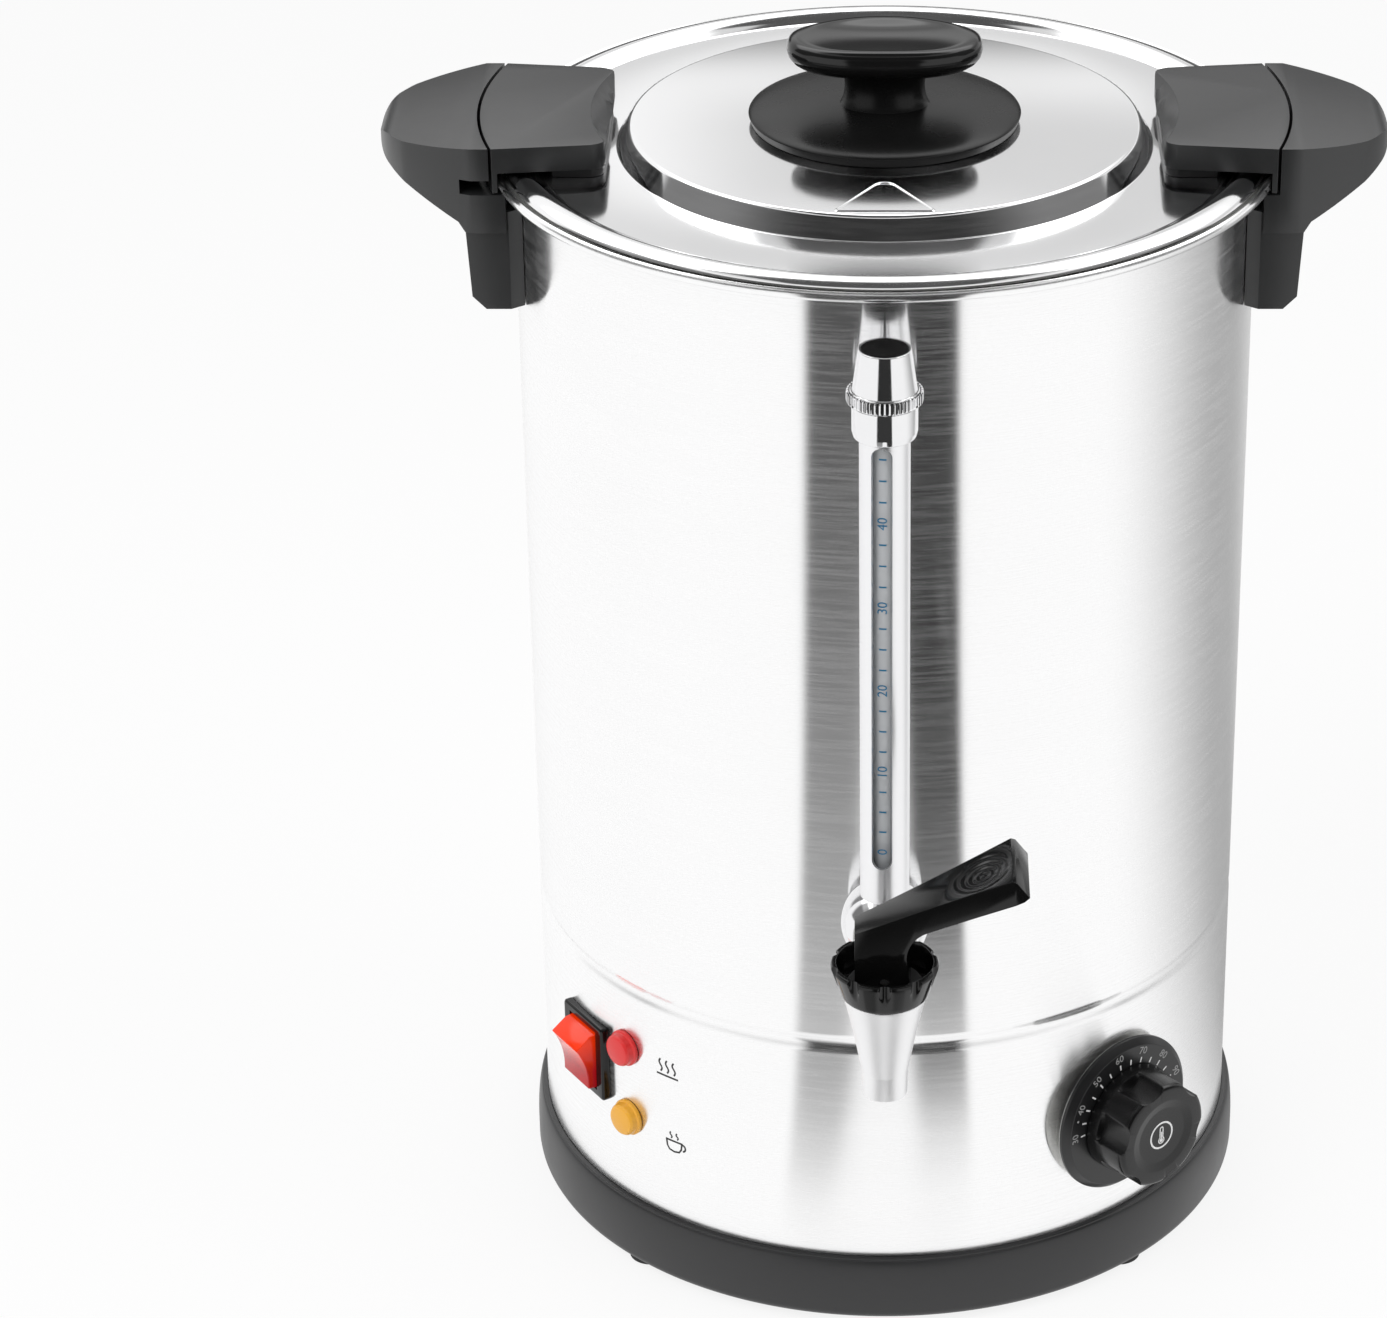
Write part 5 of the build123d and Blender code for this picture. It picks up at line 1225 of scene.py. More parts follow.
# ------------------------------------------------------------------ tap
@dataclass
class Tap:
    """The chromed valve body, its black bonnet and the lever."""

    reach: float = 171.0
    height: float = 149.0
    top: float = 155.6
    top_radius: float = 12.0
    neck: float = 130.5
    neck_radius: float = 6.7
    tip: float = 122.55
    tip_radius: float = 6.4
    bore: float = 4.8
    seat: float = 137.0
    chamber: float = 8.0
    collar: float = 158.4
    collar_radius: float = 10.3
    arm: float = 6.5
    arm_bore: float = 3.4
    arm_end: float = 162.4
    shoulder: float = 9.0
    shoulder_back: float = 131.2
    shoulder_front: float = 134.0
    shank_back: float = 98.7
    shank: float = 5.4
    bonnet_low: float = 155.9
    bonnet_high: float = 165.9
    bonnet_radii: Pair = (12.5, 15.4)
    bonnet_cavity: Pair = (11.3, 13.8)
    bonnet_floor: float = 2.2
    notches: int = 10
    notch: float = 2.0
    lever_edge: float = 0.55
    thumb: Pair = (27.0, 10.0)
    thumb_depth: float = 1.6
    ripple: Pair = (0.2, 2.3)
    wire: float = 0.6
    winding: float = 5.4
    coils: int = 5
    lever_back: Pair = (-8.5, 177.5)
    lever_end: Pair = (36.4, 199.3)

    def spout(self) -> Piece:
        """The flared valve body with its outlet."""
        neck, wide, lip = self.neck_radius, self.top_radius, self.tip_radius
        shares = span(0, 1, 20)[1:-1]
        widths = [neck + (wide - neck) * (0.86 * share + 0.14 * share**3) for share in shares]
        flare = list(zip(widths, [self.neck + (self.top - self.neck) * share for share in shares]))
        outlet = [(lip - 0.9, self.tip, 0.3), (lip, self.tip, 0.5), (neck, self.neck, 2.0)]
        outline = rounded(outlet + flare[:1])[:-1] + flare
        outline += rounded(
            [
                flare[-1], (wide, self.top, 0.4), (self.collar_radius, self.top),
                (self.collar_radius, self.collar, 0.3), (self.chamber, self.collar, 0.3),
                (self.chamber, self.seat + 3), (self.bore, self.seat), (self.bore, self.tip + 0.55, 0.3),
            ]
        )[1:]
        return turned("spout", outline, upright(0, -self.reach), 160)

    def arm_tube(self) -> Piece:
        """The shank, its shoulder and the arm to the valve, turned about a line out of the drum."""
        outline = rounded(
            [
                (self.arm_bore, self.shank_back), (self.shank, self.shank_back, 0.4),
                (self.shank, self.shoulder_back), (self.shoulder, self.shoulder_back, 0.5),
                (self.shoulder, self.shoulder_front, 0.9), (self.arm, self.shoulder_front, 0.8),
                (self.arm, self.arm_end), (self.arm_bore, self.arm_end),
            ]
        )
        return turned("tap_arm", outline, on_wall(0, self.height), 96)

    def bonnet(self) -> Piece:
        """The black cup with its notched rim."""
        low, high, floor = self.bonnet_low, self.bonnet_high, self.bonnet_low + self.bonnet_floor
        inner, (narrow, wide) = self.collar_radius + 0.15, self.bonnet_radii
        outline = rounded(
            [
                (inner, low), (narrow, low, 0.5), (wide, high - 1.0, 0.6), (wide - 0.4, high, 0.6),
                (self.bonnet_cavity[1], high, 0.3), (self.bonnet_cavity[0], floor, 0.6), (inner, floor),
            ]
        )
        rule = scalloped(self.notches, wide + 0.5, self.notch, first=18)
        return turned("tap_cup", divided(outline, 1.2), upright(0, -self.reach), 480, rule)

    def thumb_rings(self) -> Piece:
        """Ripples moulded in the thumb dish of the lever."""
        (x0, z0), (x1, z1), (x, radius) = self.lever_back, self.lever_end, self.thumb
        slope, depth, steps = math.atan2(z1 - z0, x1 - x0), self.thumb_depth, 56
        ball = (radius**2 + depth**2) / (2 * depth)
        outer = radius - 0.7
        profile = []
        for r in span(0, outer, steps):
            wave = 0.5 + 0.5 * math.cos(FULL * r / self.ripple[1])
            sag = ball - depth - math.sqrt(ball**2 - r * r)
            profile.append((r, sag + 0.06 + self.ripple[0] * wave * (1 - (r / outer) ** 4)))
        under = [(profile[i][0], profile[i][1] - 0.5) for i in (steps, steps // 2, 0)]
        place = upright(x, -self.reach, z0 + (x - x0) * math.tan(slope)) @ Matrix.Rotation(-slope, 4, "Y")
        return turned("thumb_rings", profile + under, place, 96)

    def coil(self) -> Piece:
        """The return spring over the stem, a wire wound between the cup and the washer."""
        low, high = (corner[2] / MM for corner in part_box("tap_spring"))
        runs = 40 * self.coils
        rings = []
        for angle, z in zip(span(0, FULL * self.coils, runs), span(low + self.wire, high - self.wire, runs)):
            out = Vector((math.cos(angle), math.sin(angle), 0))
            centre = Vector((0, -self.reach, z)) + self.winding * out
            side, up = self.wire * out, Vector((0, 0, self.wire))
            rings.append([centre + math.cos(a) * side + math.sin(a) * up for a in turns(12)])
        return loft("tap_coil", rings)

    def build(self) -> None:
        """Make and dress the tap."""
        dress(self.spout(), SATIN_CHROME, "urn", ["tap_body"])
        dress(self.arm_tube(), CHROME, "urn", ["tap_shank"])
        dress(self.bonnet(), GLOSS_PLASTIC, "urn", ["tap_bonnet"])
        lever = eased_copy("tap_paddle", ["tap_lever"], self.lever_edge)
        dress(lever, GLOSS_PLASTIC, "tap_lever", ["tap_lever"])
        dress(self.thumb_rings(), GLOSS_PLASTIC, "tap_lever")
        coil = self.coil()
        coil.data.materials.append(ZINC.material())
        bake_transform(coil)
        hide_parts("tap_spring")


# ------------------------------------------------------------------ gauge
@dataclass
class Gauge:
    """The sight gauge: block, slotted tube, scale and screw cap."""

    reach: float = 121.6
    block_height: float = 149.0
    block_back: Pair = (111.7, 11.0)
    block_front: Pair = (129.9, 9.8)
    block_radius: float = 12.9
    block_bore: float = 5.55
    socket_floor: float = 155.7
    foot: float = 158.2
    radius: float = 7.2
    wall: float = 0.8
    glass_radii: Pair = (3.2, 4.6)
    head_radius: float = 9.3
    head_low: float = 305.6
    head_high: float = 316.2
    slot: Pair = (171.1, 305.2)
    slot_width: float = 6.0
    slot_turn: float = -7.0
    knurl: float = 10.8
    knurl_low: float = 316.5
    knurl_high: float = 320.4
    teeth: int = 48
    spigot: float = 6.2
    cap_top: float = 332.5
    cap_radii: Pair = (9.1, 7.3)
    disc: float = 6.7
    zero: float = 175.7
    step: float = 26.33
    figures: int = 5
    liquid: float = 177.6

    def turned(self, name: str, outline: Outline, segments: int) -> Piece:
        """A shape turned about the tube's own axis."""
        return turned(name, outline, upright(0, -self.reach), segments)

    def block(self) -> Piece:
        """The chromed block, a short barrel lying out of the drum, with the tube's socket."""
        middle, wide = self.reach - 1, self.block_radius
        (back, _), (front, front_radius) = self.block_back, self.block_front
        barrel = []
        for out in span(back, front, 16):
            end, radius = self.block_back if out < middle else self.block_front
            barrel.append((wide - (wide - radius) * ((out - middle) / (end - middle)) ** 2, out))
        outline = [(self.block_bore, back)] + barrel + [(front_radius - 0.6, front), (self.block_bore, front)]
        return turned("gauge_barrel", outline, on_wall(0, self.block_height))

    def tube(self) -> Piece:
        """The chromed tube with its round-ended slot."""
        half, steps = self.slot_width / 2, 120
        turn = math.radians(self.slot_turn - 90)
        low, high = self.slot[0] + half, self.slot[1] - half
        quarter = span(0, math.pi / 2, 10)
        levels = [self.foot, *(low - half * math.cos(a) for a in quarter)]
        levels += [*(high + half * math.sin(a) for a in quarter), self.head_low + 1.0]
        bm = bmesh.new()
        rows, gaps = [], []
        for z in levels:
            past = max(low - z, z - high, 0.0)
            gaps.append(math.asin(math.sqrt(max(half**2 - past**2, 0.0)) / self.radius))
            row = []
            for angle in span(turn + gaps[-1], turn + FULL - gaps[-1], steps):
                x, y = math.cos(angle), math.sin(angle)
                reaches = (self.radius, self.radius - self.wall)
                row.append([bm.verts.new((r * x, r * y - self.reach, z)) for r in reaches])
            rows.append(row)
        for one, two, gap in zip(rows, rows[1:], map(max, gaps, gaps[1:])):
            for (a, b), (c, d), (e, f), (g, h) in zip(one, one[1:], two, two[1:]):
                bm.faces.new((a, c, g, e))
                bm.faces.new((b, f, h, d))
            for i in (0, steps) if gap > 1e-5 else ():
                bm.faces.new((one[i][0], two[i][0], two[i][1], one[i][1]))
        for (a, b), (c, d) in zip(rows[0], rows[0][1:]):
            bm.faces.new((a, b, d, c))
        return finish_mesh(bm, "gauge_sleeve")

    def head(self) -> Piece:
        """The stepped head of the tube, under the cap."""
        inner, low, high, wide = self.radius - self.wall, self.head_low, self.head_high, self.head_radius
        outline = rounded(
            [
                (inner, low + 1.0), (self.radius, low + 1.0), (self.radius, low, 0.4),
                (wide - 0.4, low + 0.8, 0.8), (wide, low + 2.6, 0.8), (wide, high, 0.5), (inner, high, 0.3),
            ],
            closed=True,
        )
        return self.turned("gauge_head", outline, 128)

    def inside(self) -> None:
        """The clear tube, the pale strip in it and the coffee that stands in its foot."""
        floor, drink = self.socket_floor, self.liquid
        pipe = sleeve(*self.glass_radii, floor + 1.7, self.head_high - 6.7, 0.2)
        dress(self.turned("gauge_pipe", pipe, 64), TUBE_PLASTIC, "urn", ["gauge_glass"])
        strip = sleeve(0, 2.6, self.slot[0] - 6, self.slot[1] + 2, 0.3)
        dress(self.turned("gauge_strip", strip, 40), SILICONE, "urn")
        coffee = [(0, floor + 2.0), (3.15, floor + 2.0), (3.15, drink), (2.9, drink), (0, drink - 0.3)]
        dress(self.turned("gauge_coffee", coffee, 48), GLOSS_PLASTIC, "urn")

    def ticks(self) -> Piece:
        """Short scale lines, three between each two figures."""
        bm = bmesh.new()
        path = [0.35 * k for k in range(-3, 4)]
        for level in span(0, self.step, 4)[1:-1]:
            line = [(x, level) for x in path]
            band(bm, line, 0.5, (0.0, 0.05), wrapped(self.glass_radii[1], self.slot_turn))
        one = finish_mesh(bm, "gauge_ticks")
        return Repeat(self.figures, rise=self.step).made(one, upright(0, -self.reach, self.zero), BLUE_INK)

    def numbers(self) -> Piece:
        """Scale figures, read with the head tilted, as printed along the tube."""
        bm = bmesh.new()
        for i in range(self.figures):
            front = on_wall(self.slot_turn, self.zero + i * self.step, self.glass_radii[1] + 0.02)
            frame = upright(0, -self.reach) @ front @ Matrix.Rotation(math.radians(90), 4, "Z")
            lettered(bm, str(10 * i), 2.8, frame, 0.03)
        return finish_mesh(bm, "gauge_numbers")

    def cap(self) -> Piece:
        """The tapered cap with the step that carries the knurl."""
        low, high, top, seat = self.knurl_low, self.knurl_high, self.cap_top, self.cap_top - 1.05
        (wide, narrow), floor, rim = self.cap_radii, self.knurl - 0.8, self.disc + 0.1
        outline = rounded(
            [
                (0, low - 4.8), (self.spigot, low - 4.8, 0.3), (self.spigot, low), (floor - 0.5, low, 0.2),
                (floor, low + 0.5, 0.2), (floor, high - 0.5, 0.2), (floor - 0.5, high, 0.2),
                (wide, high, 0.15), (narrow + 0.1, top, 0.5), (rim, top, 0.1), (rim, seat), (0, seat),
            ],
            steps=4,
        )
        return self.turned("gauge_cap_cone", outline, 144)

    def knurling(self) -> Piece:
        """Straight knurl teeth round the step."""
        low, tall = self.knurl_low + 0.25, self.knurl_high - self.knurl_low - 0.5
        inner, outer = self.knurl - 1.0, self.knurl
        half = math.pi * self.knurl / self.teeth * 0.7
        shoulder, side = outer - 0.12, half * 0.45
        section = [(inner, -half), (shoulder, -side), (outer, 0.0), (shoulder, side), (inner, half)]
        ends = (0.0, 0.4), (0.35, 0.0), (tall - 0.35, 0.0), (tall, 0.4)
        rings = [[(x - pull * (x > inner), y, z) for x, y in section] for z, pull in ends]
        tooth = loft("gauge_knurl", rings, sharp=math.radians(50))
        return Repeat(self.teeth, turn=360 / self.teeth).made(tooth, upright(0, -self.reach, low), CHROME)

    def knurl_painted_shade(self) -> Piece:
        """The floor between the teeth of the knurl, a nearly black ring that puts painted shade in the gaps.
        """
        low, high, wide = self.knurl_low + 0.3, self.knurl_high - 0.3, self.knurl
        return self.turned("gauge_knurl_painted_shade", sleeve(wide - 1.2, wide - 0.72, low, high, 0.1), 144)

    def disc_plug(self) -> Piece:
        """The black disc let into the cap."""
        top, pit, wide = self.cap_top - 0.1, self.cap_top - 0.35, self.disc
        corners = [(0, top - 0.9), (wide, top - 0.9), (wide, top, 0.25), (2.0, top), (1.2, pit), (0, pit)]
        return self.turned("gauge_cap_plug", rounded(corners), 96)

    def build(self) -> None:
        """Make and dress the gauge."""
        dress(self.block(), CHROME, "urn", ["gauge_block"])
        dress(self.tube(), SLEEVE_CHROME, "urn", ["gauge_shield"])
        dress(self.head(), CHROME, "urn")
        self.inside()
        dress(self.ticks(), BLUE_INK, "urn")
        dress(self.numbers(), BLUE_INK, "urn")
        dress(self.cap(), CHROME, "gauge_cap", ["gauge_cap"])
        dress(self.knurling(), CHROME, "gauge_cap")
        # the ring under the teeth is painted shade
        dress(self.knurl_painted_shade(), KNURL_PAINTED_SHADE, "gauge_cap")
        dress(self.disc_plug(), GLOSS_PLASTIC, "gauge_cap", ["gauge_cap_disc"])


# ------------------------------------------------------------------ switch, lamps and dial
@dataclass
class Switch:
    """The rocker switch and the two lamps beside it."""

    lamp_radius: float = 5.3
    lamp_front: float = 114.4
    lamp_neck: float = 4.5
    lamp_bezel: Pair = (5.9, 1.2)
    red: Pair = (-46.6, 77.6)
    amber: Pair = (-46.1, 52.8)
    wall: float = 110.15

    def lens(self, name: str, azimuth: float, height: float) -> Piece:
        """One lamp lens with its stepped rim, from the drum outwards.

        Args:
            name: name of the piece.
            azimuth: where it stands, in degrees.
            height: height of its middle.

        Returns:
            The lens.
        """
        r, out, back, neck = self.lamp_radius, self.lamp_front, self.wall, self.lamp_neck
        ring, tall = self.lamp_bezel
        outline = rounded(
            [
                (0, back - 3), (neck, back - 3), (neck, back), (ring, back), (ring, back + tall - 0.2, 0.4),
                (r, back + tall, 0.3), (r - 0.15, out - 1.3, 0.5), (r - 0.7, out - 0.5, 0.4),
                (r - 1.5, out - 0.3), (0, out),
            ]
        )
        return turned(name, outline, on_wall(azimuth, height), 96)

    def build(self) -> None:
        """Make and dress the switch and lamps."""
        housing = eased_copy("switch_frame", ["switch_housing"], 0.35)
        dress(housing, GLOSS_PLASTIC, "urn", ["switch_housing"])
        rocker = eased_copy("switch_rocker", ["rocker"], 0.3)
        dress(rocker, ROCKER_RED_PAINTED_TOP, "rocker", ["rocker"])
        dress(self.lens("lamp_red_lens", *self.red), RED_LENS, "urn", ["lamp_red"])
        dress(self.lens("lamp_amber_lens", *self.amber), AMBER_LENS, "urn", ["lamp_amber"])


@dataclass
class Dial:
    """The thermostat dial: plate, scale and fluted knob."""

    azimuth: float = 40.6
    height: float = 60.4
    radius: float = 25.6
    face: float = 114.8
    bevel: float = 2.0
    edge: float = 1.2
    bore: float = 4.6
    neck: float = 20.0
    knob: float = 17.4
    knob_depth: float = 15.7
    knob_gap: float = 0.3
    hub: float = 6.5
    skirt: float = 4.2
    flutes: int = 6
    flute: float = 9.0
    flute_depth: float = 2.4
    first: float = 45.0
    dish: Pair = (11.0, 0.9)
    scale_start: float = 180.0
    scale_step: float = 26.5
    tick: Pair = (17.7, 19.5)
    figures: int = 9
    figure_circle: float = 21.6
    wall: float = 110.15

    def frame(self, out: float = 0.0) -> Matrix:
        """Frame over the dial's middle."""
        return on_wall(self.azimuth, self.height, out)

    def plate(self) -> Piece:
        """The bevelled plate and the boss behind it, seated on the drum."""
        front, rim, wide, sunk = self.face, self.face - self.bevel, self.radius, self.wall - 8
        back = rim - self.edge
        outline = rounded(
            [
                (self.bore, sunk), (self.neck, sunk), (self.neck, back, 0.3), (wide, back, 0.3),
                (wide, rim, 0.5), (wide - self.bevel, front, 0.5), (self.bore, front),
            ]
        )
        made = turned("dial_face", outline, self.frame(), 160)
        seat_on_wall(made, self.azimuth, self.wall)
        return made

    def backing(self) -> Piece:
        """The bare sheet behind the plate."""
        back = self.face - self.bevel - self.edge - 0.35
        inner, outer = self.neck - 0.5, self.radius - 0.3
        outline = rounded([(inner, back), (outer, back, 0.1), (outer, back + 0.5), (inner, back + 0.5)])
        return turned("dial_backing", outline, self.frame(), 160)

    def ticks(self) -> Piece:
        """Lines of the scale."""
        bm = bmesh.new()
        band(bm, [(radius, 0) for radius in self.tick], 0.5, PRINT, flat(upright()))
        one = finish_mesh(bm, "dial_ticks")
        scale = Repeat(2 * self.figures - 1, turn=-self.scale_step / 2, start=self.scale_start)
        return scale.made(one, self.frame(self.face), WHITE_INK)

    def on_scale(self, angle: float, out: float) -> Matrix:
        """Frame on the circle of figures, not turned."""
        spot = (self.figure_circle * math.cos(angle), self.figure_circle * math.sin(angle), out)
        return self.frame(self.face) @ Matrix.Translation(spot)

    def numbers(self) -> Piece:
        """Scale figures in tens of degrees, and the dot at its start."""
        bm = bmesh.new()
        for i in range(self.figures):
            angle = math.radians(self.scale_start - i * self.scale_step)
            frame = self.on_scale(angle, 0.01) @ Matrix.Rotation(angle - math.pi / 2, 4, "Z")
            lettered(bm, str(30 + 10 * i), 2.4, frame, 0.03)
        lathe(bm, sleeve(0, 0.4, *PRINT), self.on_scale(math.radians(self.scale_start - 16), 0), 20)
        return finish_mesh(bm, "dial_numbers")

    def grip(self) -> Piece:
        """The fluted knob with its dished face."""
        back, r, hub = self.face + self.knob_gap, self.knob, self.hub
        front, start = back + self.knob_depth, back + self.skirt
        dish_radius, depth = self.dish
        outline = rounded(
            [
                (3.1, back), (hub, back, 0.3), (hub, front - 4.8), (r - 4.4, front - 4.8), (r - 2.9, start),
                (r - 1.6, back), (r, back, 0.4), (r - 0.15, start), (r - 0.2, start + 0.5),
                (r - 0.4, front, 1.5), (dish_radius + 1.2, front, 1.2),
                (dish_radius - 1.6, front - depth * 0.75, 2.0), (0, front - depth),
            ]
        )
        centre = r - self.flute_depth + self.flute
        rule = scalloped(self.flutes, centre, self.flute, self.first, low=start + 0.01, inner=r - 5)
        return turned("dial_grip", divided(outline, 0.9, beyond=r - 3), self.frame(), 360, rule)

    def symbol(self) -> Piece:
        """A ring with a plain thermometer, printed on the knob's face."""
        frame = self.frame(self.face + self.knob_gap + self.knob_depth - self.dish[1])
        low, face, place = -0.05, 0.13, flat(frame)
        bm = bmesh.new()
        band(bm, arc(0, 0, 4.4, 0, 360, 48)[:-1], 0.6, (low, face), place, closed=True)
        stem = [(-0.6, -0.9), (-0.6, 2.3)] + arc(0, 2.3, 0.6, 180, 0, 8)
        stem += [(0.6, -0.9)] + arc(0, -1.8, 1.1, 52, -232, 16)
        band(bm, stem, 0.34, (low, face), place, closed=True)
        band(bm, [(0, -1.7), (0, 1.1)], 0.4, (low, face + 0.01), place)
        lathe(bm, sleeve(0, 0.65, low, face + 0.01), frame @ Matrix.Translation((0, -1.8, 0)), 24)
        return finish_mesh(bm, "dial_symbol")

    def build(self) -> None:
        """Make and dress the dial."""
        dress(self.plate(), DIAL_PLASTIC, "urn", ["dial_plate"])
        dress(self.ticks(), WHITE_INK, "urn")
        dress(self.numbers(), GREY_INK, "urn")
        dress(self.backing(), ZINC, "urn")
        dress(self.grip(), GRIP_PLASTIC, "thermostat_knob", ["thermostat_knob"])
        dress(self.symbol(), WHITE_INK, "thermostat_knob")


@dataclass
class Signs:
    """Plain signs printed beside the lamps, in place of words."""

    radius: float = 110.0
    heat: Pair = (-37.3, 77.0)
    warm: Pair = (-36.2, 50.6)
    line: float = 0.62

    def build(self) -> None:
        """Three rising waves over a bar, and a cup with steam."""
        bm = bmesh.new()
        heat = [self.wave(x, 0.55, -1.4, 4.4, 14) for x in (-2.6, 0.0, 2.6)]
        heat.append([(-4.2 + 0.6 * k, -2.5) for k in range(15)])
        for path in heat:
            band(bm, path, self.line, PRINT, wrapped(self.radius, *self.heat))
        place = wrapped(self.radius, *self.warm)
        cup = [(-3.0, 1.0), (-2.7, -1.2), (-1.9, -2.4), (0, -2.8), (1.9, -2.4), (2.7, -1.2), (3.0, 1.0)]
        brim = [(-3.3 + 0.6 * k, 1.0) for k in range(12)]
        for path in (cup, brim, arc(3.1, -0.4, 1.2, 80, -80, 10)):
            band(bm, path, self.line, PRINT, place)
        for x in (-1.2, 1.2):
            band(bm, self.wave(x, 0.4, 1.9, 2.2, 10), self.line * 0.85, PRINT, place)
        dress(finish_mesh(bm, "panel_signs"), BLACK_INK, "urn")

    def wave(self, x: float, swing: float, low: float, tall: float, steps: int) -> list[Pair]:
        """One upright wave.

        Args:
            x: its middle.
            swing: how far it swings to each side.
            low: where it starts.
            tall: its height.
            steps: runs in it.

        Returns:
            Its points.
        """
        return [(x + swing * math.sin(FULL * t), low + tall * t) for t in span(0, 1, steps)]


# ------------------------------------------------------------------ hidden CAD parts
NODE_FINISHES: dict[Finish, tuple[str, ...]] = {
    INNER_STEEL: ("tank_floor", "perk_tube", "filter_basket", "basket_cover", "base_plate"),
    CAST_ALUMINIUM: ("heater_plate",),
    SHEATH: ("heating_element", "thermostat_bulb"),
    ZINC: (
        "base_screws", "handle_screws", "knob_screw", "lug_screws", "dial_screws", "tap_nut", "lever_pin",
        "thermal_cutouts", "lamp_nuts", "tap_stem", "thermostat_shaft",
    ),
    RING_PLASTIC: ("thermostat_body", "terminal_block", "cable_gland", "cable_gland_nut", "tap_cam_washer"),
    SILICONE: ("lid_seal", "gauge_seals", "tap_seals", "tap_seat_cup"),
    RUBBER: ("rubber_feet",),
}


def dress_nodes() -> None:
    """Give every CAD node that stays visible its own finish."""
    for finish, nodes in NODE_FINISHES.items():
        for node in nodes:
            piece = bpy.data.objects.get(node)
            if piece is None:
                LOG.warning("no node %s", node)
                continue
            if not piece.material_slots:
                piece.data.materials.append(finish.material())
            for slot in piece.material_slots:
                slot.material = finish.material()


# ------------------------------------------------------------------ studio
@dataclass
class Sky:
    """White studio round the object, in which metal also sees dark gaps and a bright panel.

    A pair is where a gap or a panel starts and where it is full. A side counts from -1 behind the
    object to 1 in front of it; heights and tops are the upward part of a direction.
    """

    fill: float = 0.62
    level: float = 1.0
    slot_side: Pair = (0.89, 0.93)
    slot_height: Pair = (0.37, 0.31)
    slot_depth: float = 0.97
    flag_side: Pair = (-0.42, -0.3)
    flag_slope: Pair = (0.15, 0.5)
    flag_rise: float = 0.26
    flag_low: float = 0.08
    flag_soft: float = 0.03
    flag_top: Pair = (0.82, 0.74)
    flag_depth: float = 0.8
    flag_front: Pair = (0.2, 0.9)
    flag_more: float = 0.17
    boom_width: Pair = (0.36, 0.31)
    boom_height: Pair = (0.86, 0.9)
    boom_depth: float = 0.92
    back_side: Pair = (-0.8, -0.9)
    back_height: Pair = (0.3, 0.22)
    back_depth: float = 0.9
    soft_low: Pair = (0.28, 0.37)
    soft_high: Pair = (0.52, 0.44)
    soft_left: Pair = (-0.1, -0.03)
    soft_top: Pair = (0.84, 0.88)
    soft_depth: float = 0.3
    panel_low: Pair = (0.54, 0.64)
    panel_high: Pair = (0.9, 0.86)
    panel_side: Pair = (0.1, -0.2)
    panel_level: float = 1.6

    def gaps(self, side: Level, x: Level, z: Level) -> Level:
        """How dark the gaps are.

        Args:
            side: how far in front.
            x: sideways part of the direction.
            z: upward part of the direction.

        Returns:
            The darkest gap's level.
        """
        slot = side.ramp(*self.slot_side) * z.ramp(*self.slot_height)
        above = z - (side.ramp(*self.flag_slope) * self.flag_rise + self.flag_low)
        high = above.ramp(-self.flag_soft, self.flag_soft) * z.ramp(*self.flag_top)
        dark = side.ramp(*self.flag_front) * self.flag_more + self.flag_depth
        flag = side.ramp(*self.flag_side) * dark * high
        boom = abs(x).ramp(*self.boom_width) * z.ramp(*self.boom_height)
        back = side.ramp(*self.back_side) * z.ramp(*self.back_height)
        soft_gap = z.ramp(*self.soft_low) * z.ramp(*self.soft_high) * x.ramp(*self.soft_left)
        soft_gap = soft_gap.most(z.ramp(*self.soft_top))
        darkest = (slot * self.slot_depth).most(flag)
        for gap, depth in ((boom, self.boom_depth), (back, self.back_depth), (soft_gap, self.soft_depth)):
            darkest = darkest.most(gap * depth)
        return darkest

    def build(self) -> None:
        """Make the world."""
        world = bpy.data.worlds.new("studio")
        bpy.context.scene.world = world
        world.use_nodes = True
        graph = Graph(world.node_tree)
        x, y, z = graph.split(graph.where("Generated"))
        side = y * -1.0 / (x * x + y * y).sum("SQRT").most(0.001)
        panel = z.ramp(*self.panel_low) * z.ramp(*self.panel_high) * side.ramp(*self.panel_side)
        level = self.gaps(side, x, z).rest() * (panel * self.panel_level + self.level)
        path = graph.add("LightPath").outputs
        seen = Level(graph, path["Is Camera Ray"]).most(path["Is Transmission Ray"])
        plain, shiny, white = (graph.glow(share, Light.WORLD) for share in (self.fill, level, 1.0))
        graph.add("OutputWorld", graph.blend(seen, graph.blend(path["Is Glossy Ray"], plain, shiny), white))


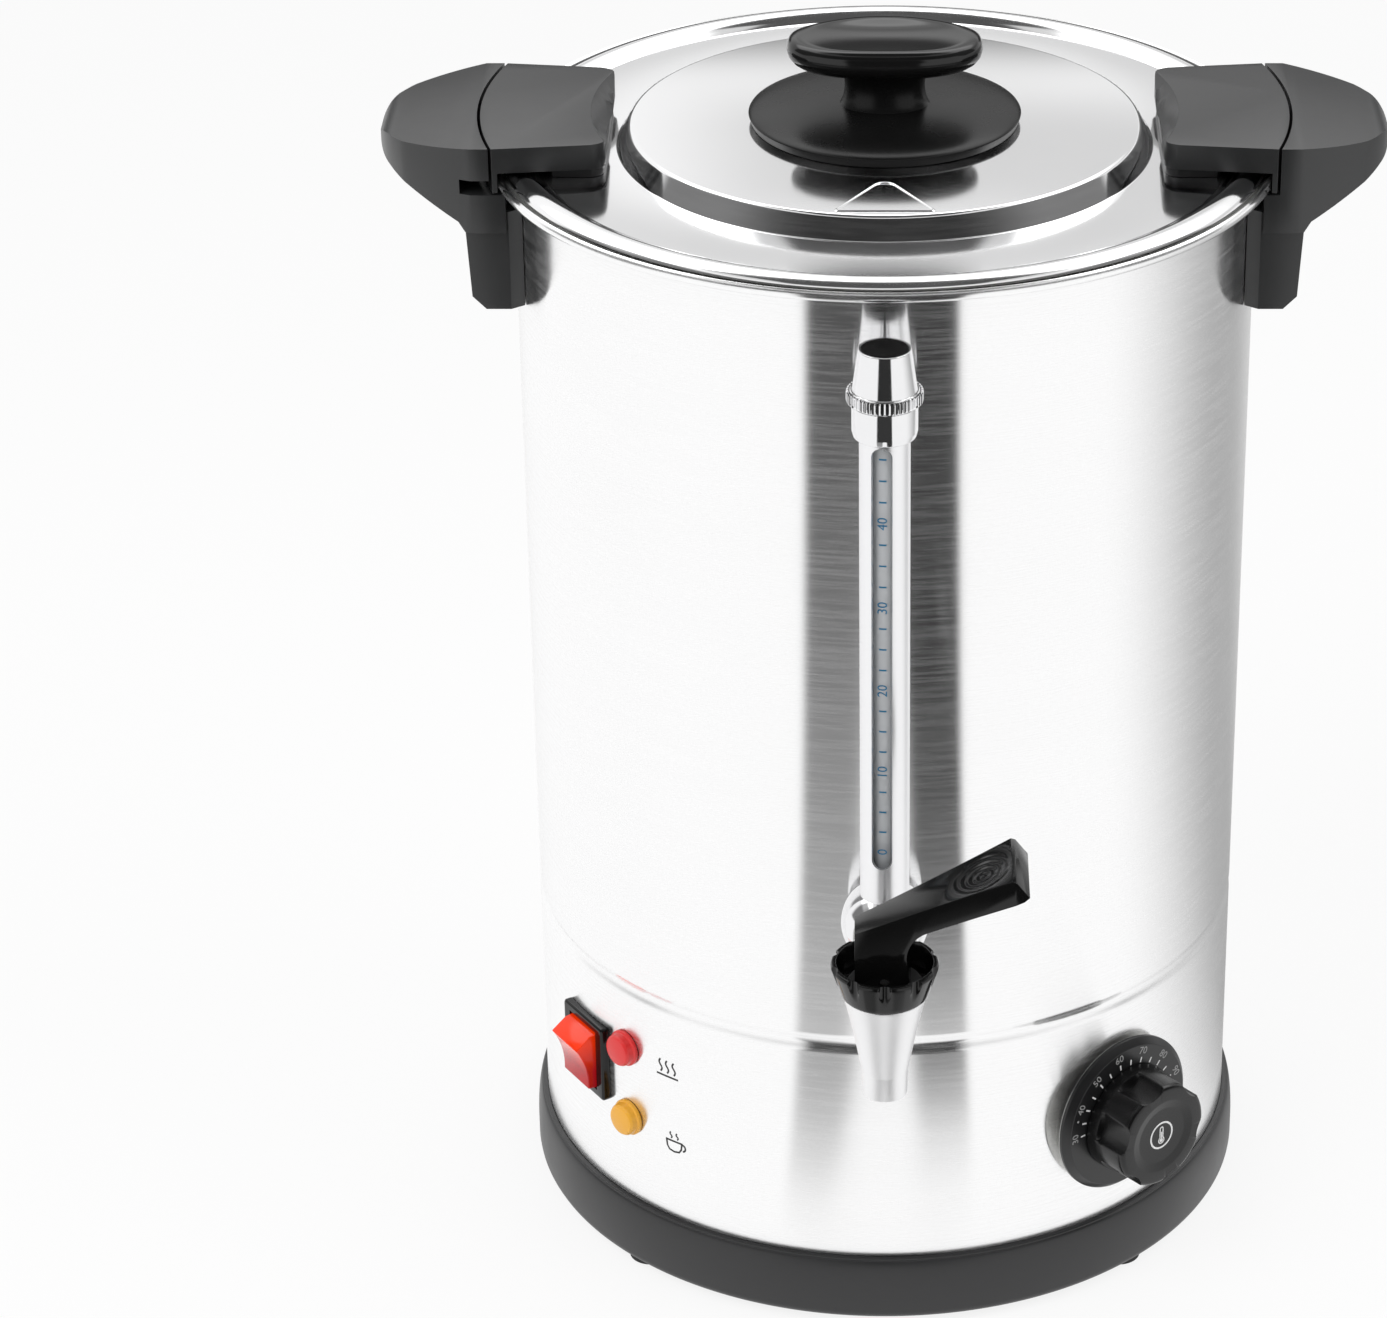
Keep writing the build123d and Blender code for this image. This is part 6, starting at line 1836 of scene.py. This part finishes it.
@dataclass
class Floor:
    """A wide pale floor that keeps the urn's shadow; metal also sees the gaps lie on it.

    Pairs are where a gap starts and where it is full, as angles from the front in radians or as
    distances from the axis in metres.
    """

    radius: float = 12000.0
    drop: float = 0.0002
    tone: float = 0.9
    white: float = 0.85
    right_start: Pair = (-0.02, 0.02)
    right_reach: Pair = (0.2, 0.3)
    left_reach: Pair = (-0.19, 0.66)
    left_near: Pair = (0.14, 0.24)
    gap_right: Pair = (0.4, 0.35)
    gap_left: Pair = (-0.43, -0.37)
    gap_middle: Pair = (0.03, 0.05)
    gap_far: Pair = (0.5, 0.65)
    gap_depth: float = 0.96
    behind_start: Pair = (1.15, 2.15)
    behind_depth: float = 0.58
    behind_end: Pair = (2.3, 3.0)
    behind_less: float = 0.4

    def level(self, x: Level, y: Level) -> Level:
        """Light that metal sees on the floor.

        Args:
            x: place to the right.
            y: place to the back.

        Returns:
            The level of the light.
        """
        azimuth = x.sum("ARCTAN2", y * -1.0)
        distance = (x * x + y * y).sum("SQRT")
        rightward = azimuth.ramp(*self.right_start)
        right = rightward * distance.ramp(*self.right_reach)
        left = rightward.rest() * distance.ramp(*self.left_reach) * distance.ramp(*self.left_near)
        gap = azimuth.ramp(*self.gap_right) * azimuth.ramp(*self.gap_left)
        beyond = abs(x).ramp(*self.gap_middle).most(distance.ramp(*self.gap_far))
        dark = gap * beyond * (right + left) * self.gap_depth
        depth = azimuth.ramp(*self.behind_end) * -self.behind_less + self.behind_depth
        return dark.rest() * (azimuth.ramp(*self.behind_start) * depth).rest()

    def build(self) -> None:
        """Make the floor and its material."""
        bm = bmesh.new()
        bmesh.ops.create_circle(bm, cap_ends=True, segments=96, radius=self.radius)
        made = finish_mesh(bm, "floor")
        made.data.transform(Matrix.Translation((0, 0, -self.drop)))
        material = bpy.data.materials.new("floor_paper")
        material.use_nodes = True
        graph = Graph(material.node_tree)
        x, y, _ = graph.split(graph.where())
        paper = graph.add("BsdfDiffuse", Color=(self.tone,) * 3).outputs[0]
        path = graph.add("LightPath").outputs
        shown = graph.blend(self.white, paper, graph.glow(1.0, Light.SURFACE))
        plain = graph.blend(path["Is Camera Ray"], paper, shown)
        shiny = graph.glow(self.level(x, y), Light.SURFACE)
        graph.add("OutputMaterial", graph.blend(path["Is Glossy Ray"], plain, shiny))
        made.data.materials.append(material)


@dataclass
class Studio:
    """The camera, the sky, the floor and two soft lamps."""

    camera_at: tuple[float, float, float] = (0.0, -1.3282, 0.8621)
    tilt: float = 61.872
    lens: float = 124.12
    shift: Pair = (-0.1379, 0.0429)
    aim: tuple[float, float, float] = (0, 0, 0.2)
    lamp_size: float = 1.2

    def camera(self) -> None:
        """Long lens from above the front."""
        data = bpy.data.cameras.new("camera")
        data.lens = self.lens
        data.sensor_width = 36
        data.sensor_fit = "HORIZONTAL"
        data.shift_x, data.shift_y = self.shift
        data.clip_start, data.clip_end = 0.05, 50
        made = bpy.data.objects.new("camera", data)
        made.location = self.camera_at
        made.rotation_euler = (math.radians(self.tilt), 0, 0)
        bpy.context.scene.collection.objects.link(made)
        bpy.context.scene.camera = made

    def lamp(self, name: str, at: Sequence[float], watts: float) -> None:
        """One soft lamp aimed at the urn's middle.

        Args:
            name: its name.
            at: where it hangs, in metres.
            watts: its power.
        """
        data = bpy.data.lights.new(name, "AREA")
        data.shape = "DISK"
        data.size = self.lamp_size
        data.energy = watts
        made = bpy.data.objects.new(name, data)
        made.location = at
        made.rotation_euler = (Vector(self.aim) - Vector(at)).to_track_quat("-Z", "Y").to_euler()
        made.visible_glossy = False
        bpy.context.scene.collection.objects.link(made)

    def build(self) -> None:
        """Set the camera, the light and the floor."""
        self.camera()
        Sky().build()
        Floor().build()
        self.lamp("key_lamp", (-0.9, -0.8, 1.5), 14)
        self.lamp("fill_lamp", (1.2, -0.3, 1.1), 8)
        bpy.context.scene.view_settings.view_transform = "Standard"


@dataclass
class Urn:
    """The whole urn, in the order in which it is put together."""

    parts: tuple[type, ...] = (Drum, Lid, Handles, Tap, Gauge, Switch, Dial, Signs)

    def build(self) -> None:
        """Build every sub-assembly."""
        for part in self.parts:
            LOG.info("building %s", part.__name__)
            part().build()


def main() -> None:
    """Load the frame, dress it and set the studio."""
    logging.basicConfig(level=logging.INFO, format="%(name)s: %(message)s")
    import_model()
    dress_nodes()
    Urn().build()
    Studio().build()


if __name__ == "__main__":
    main()
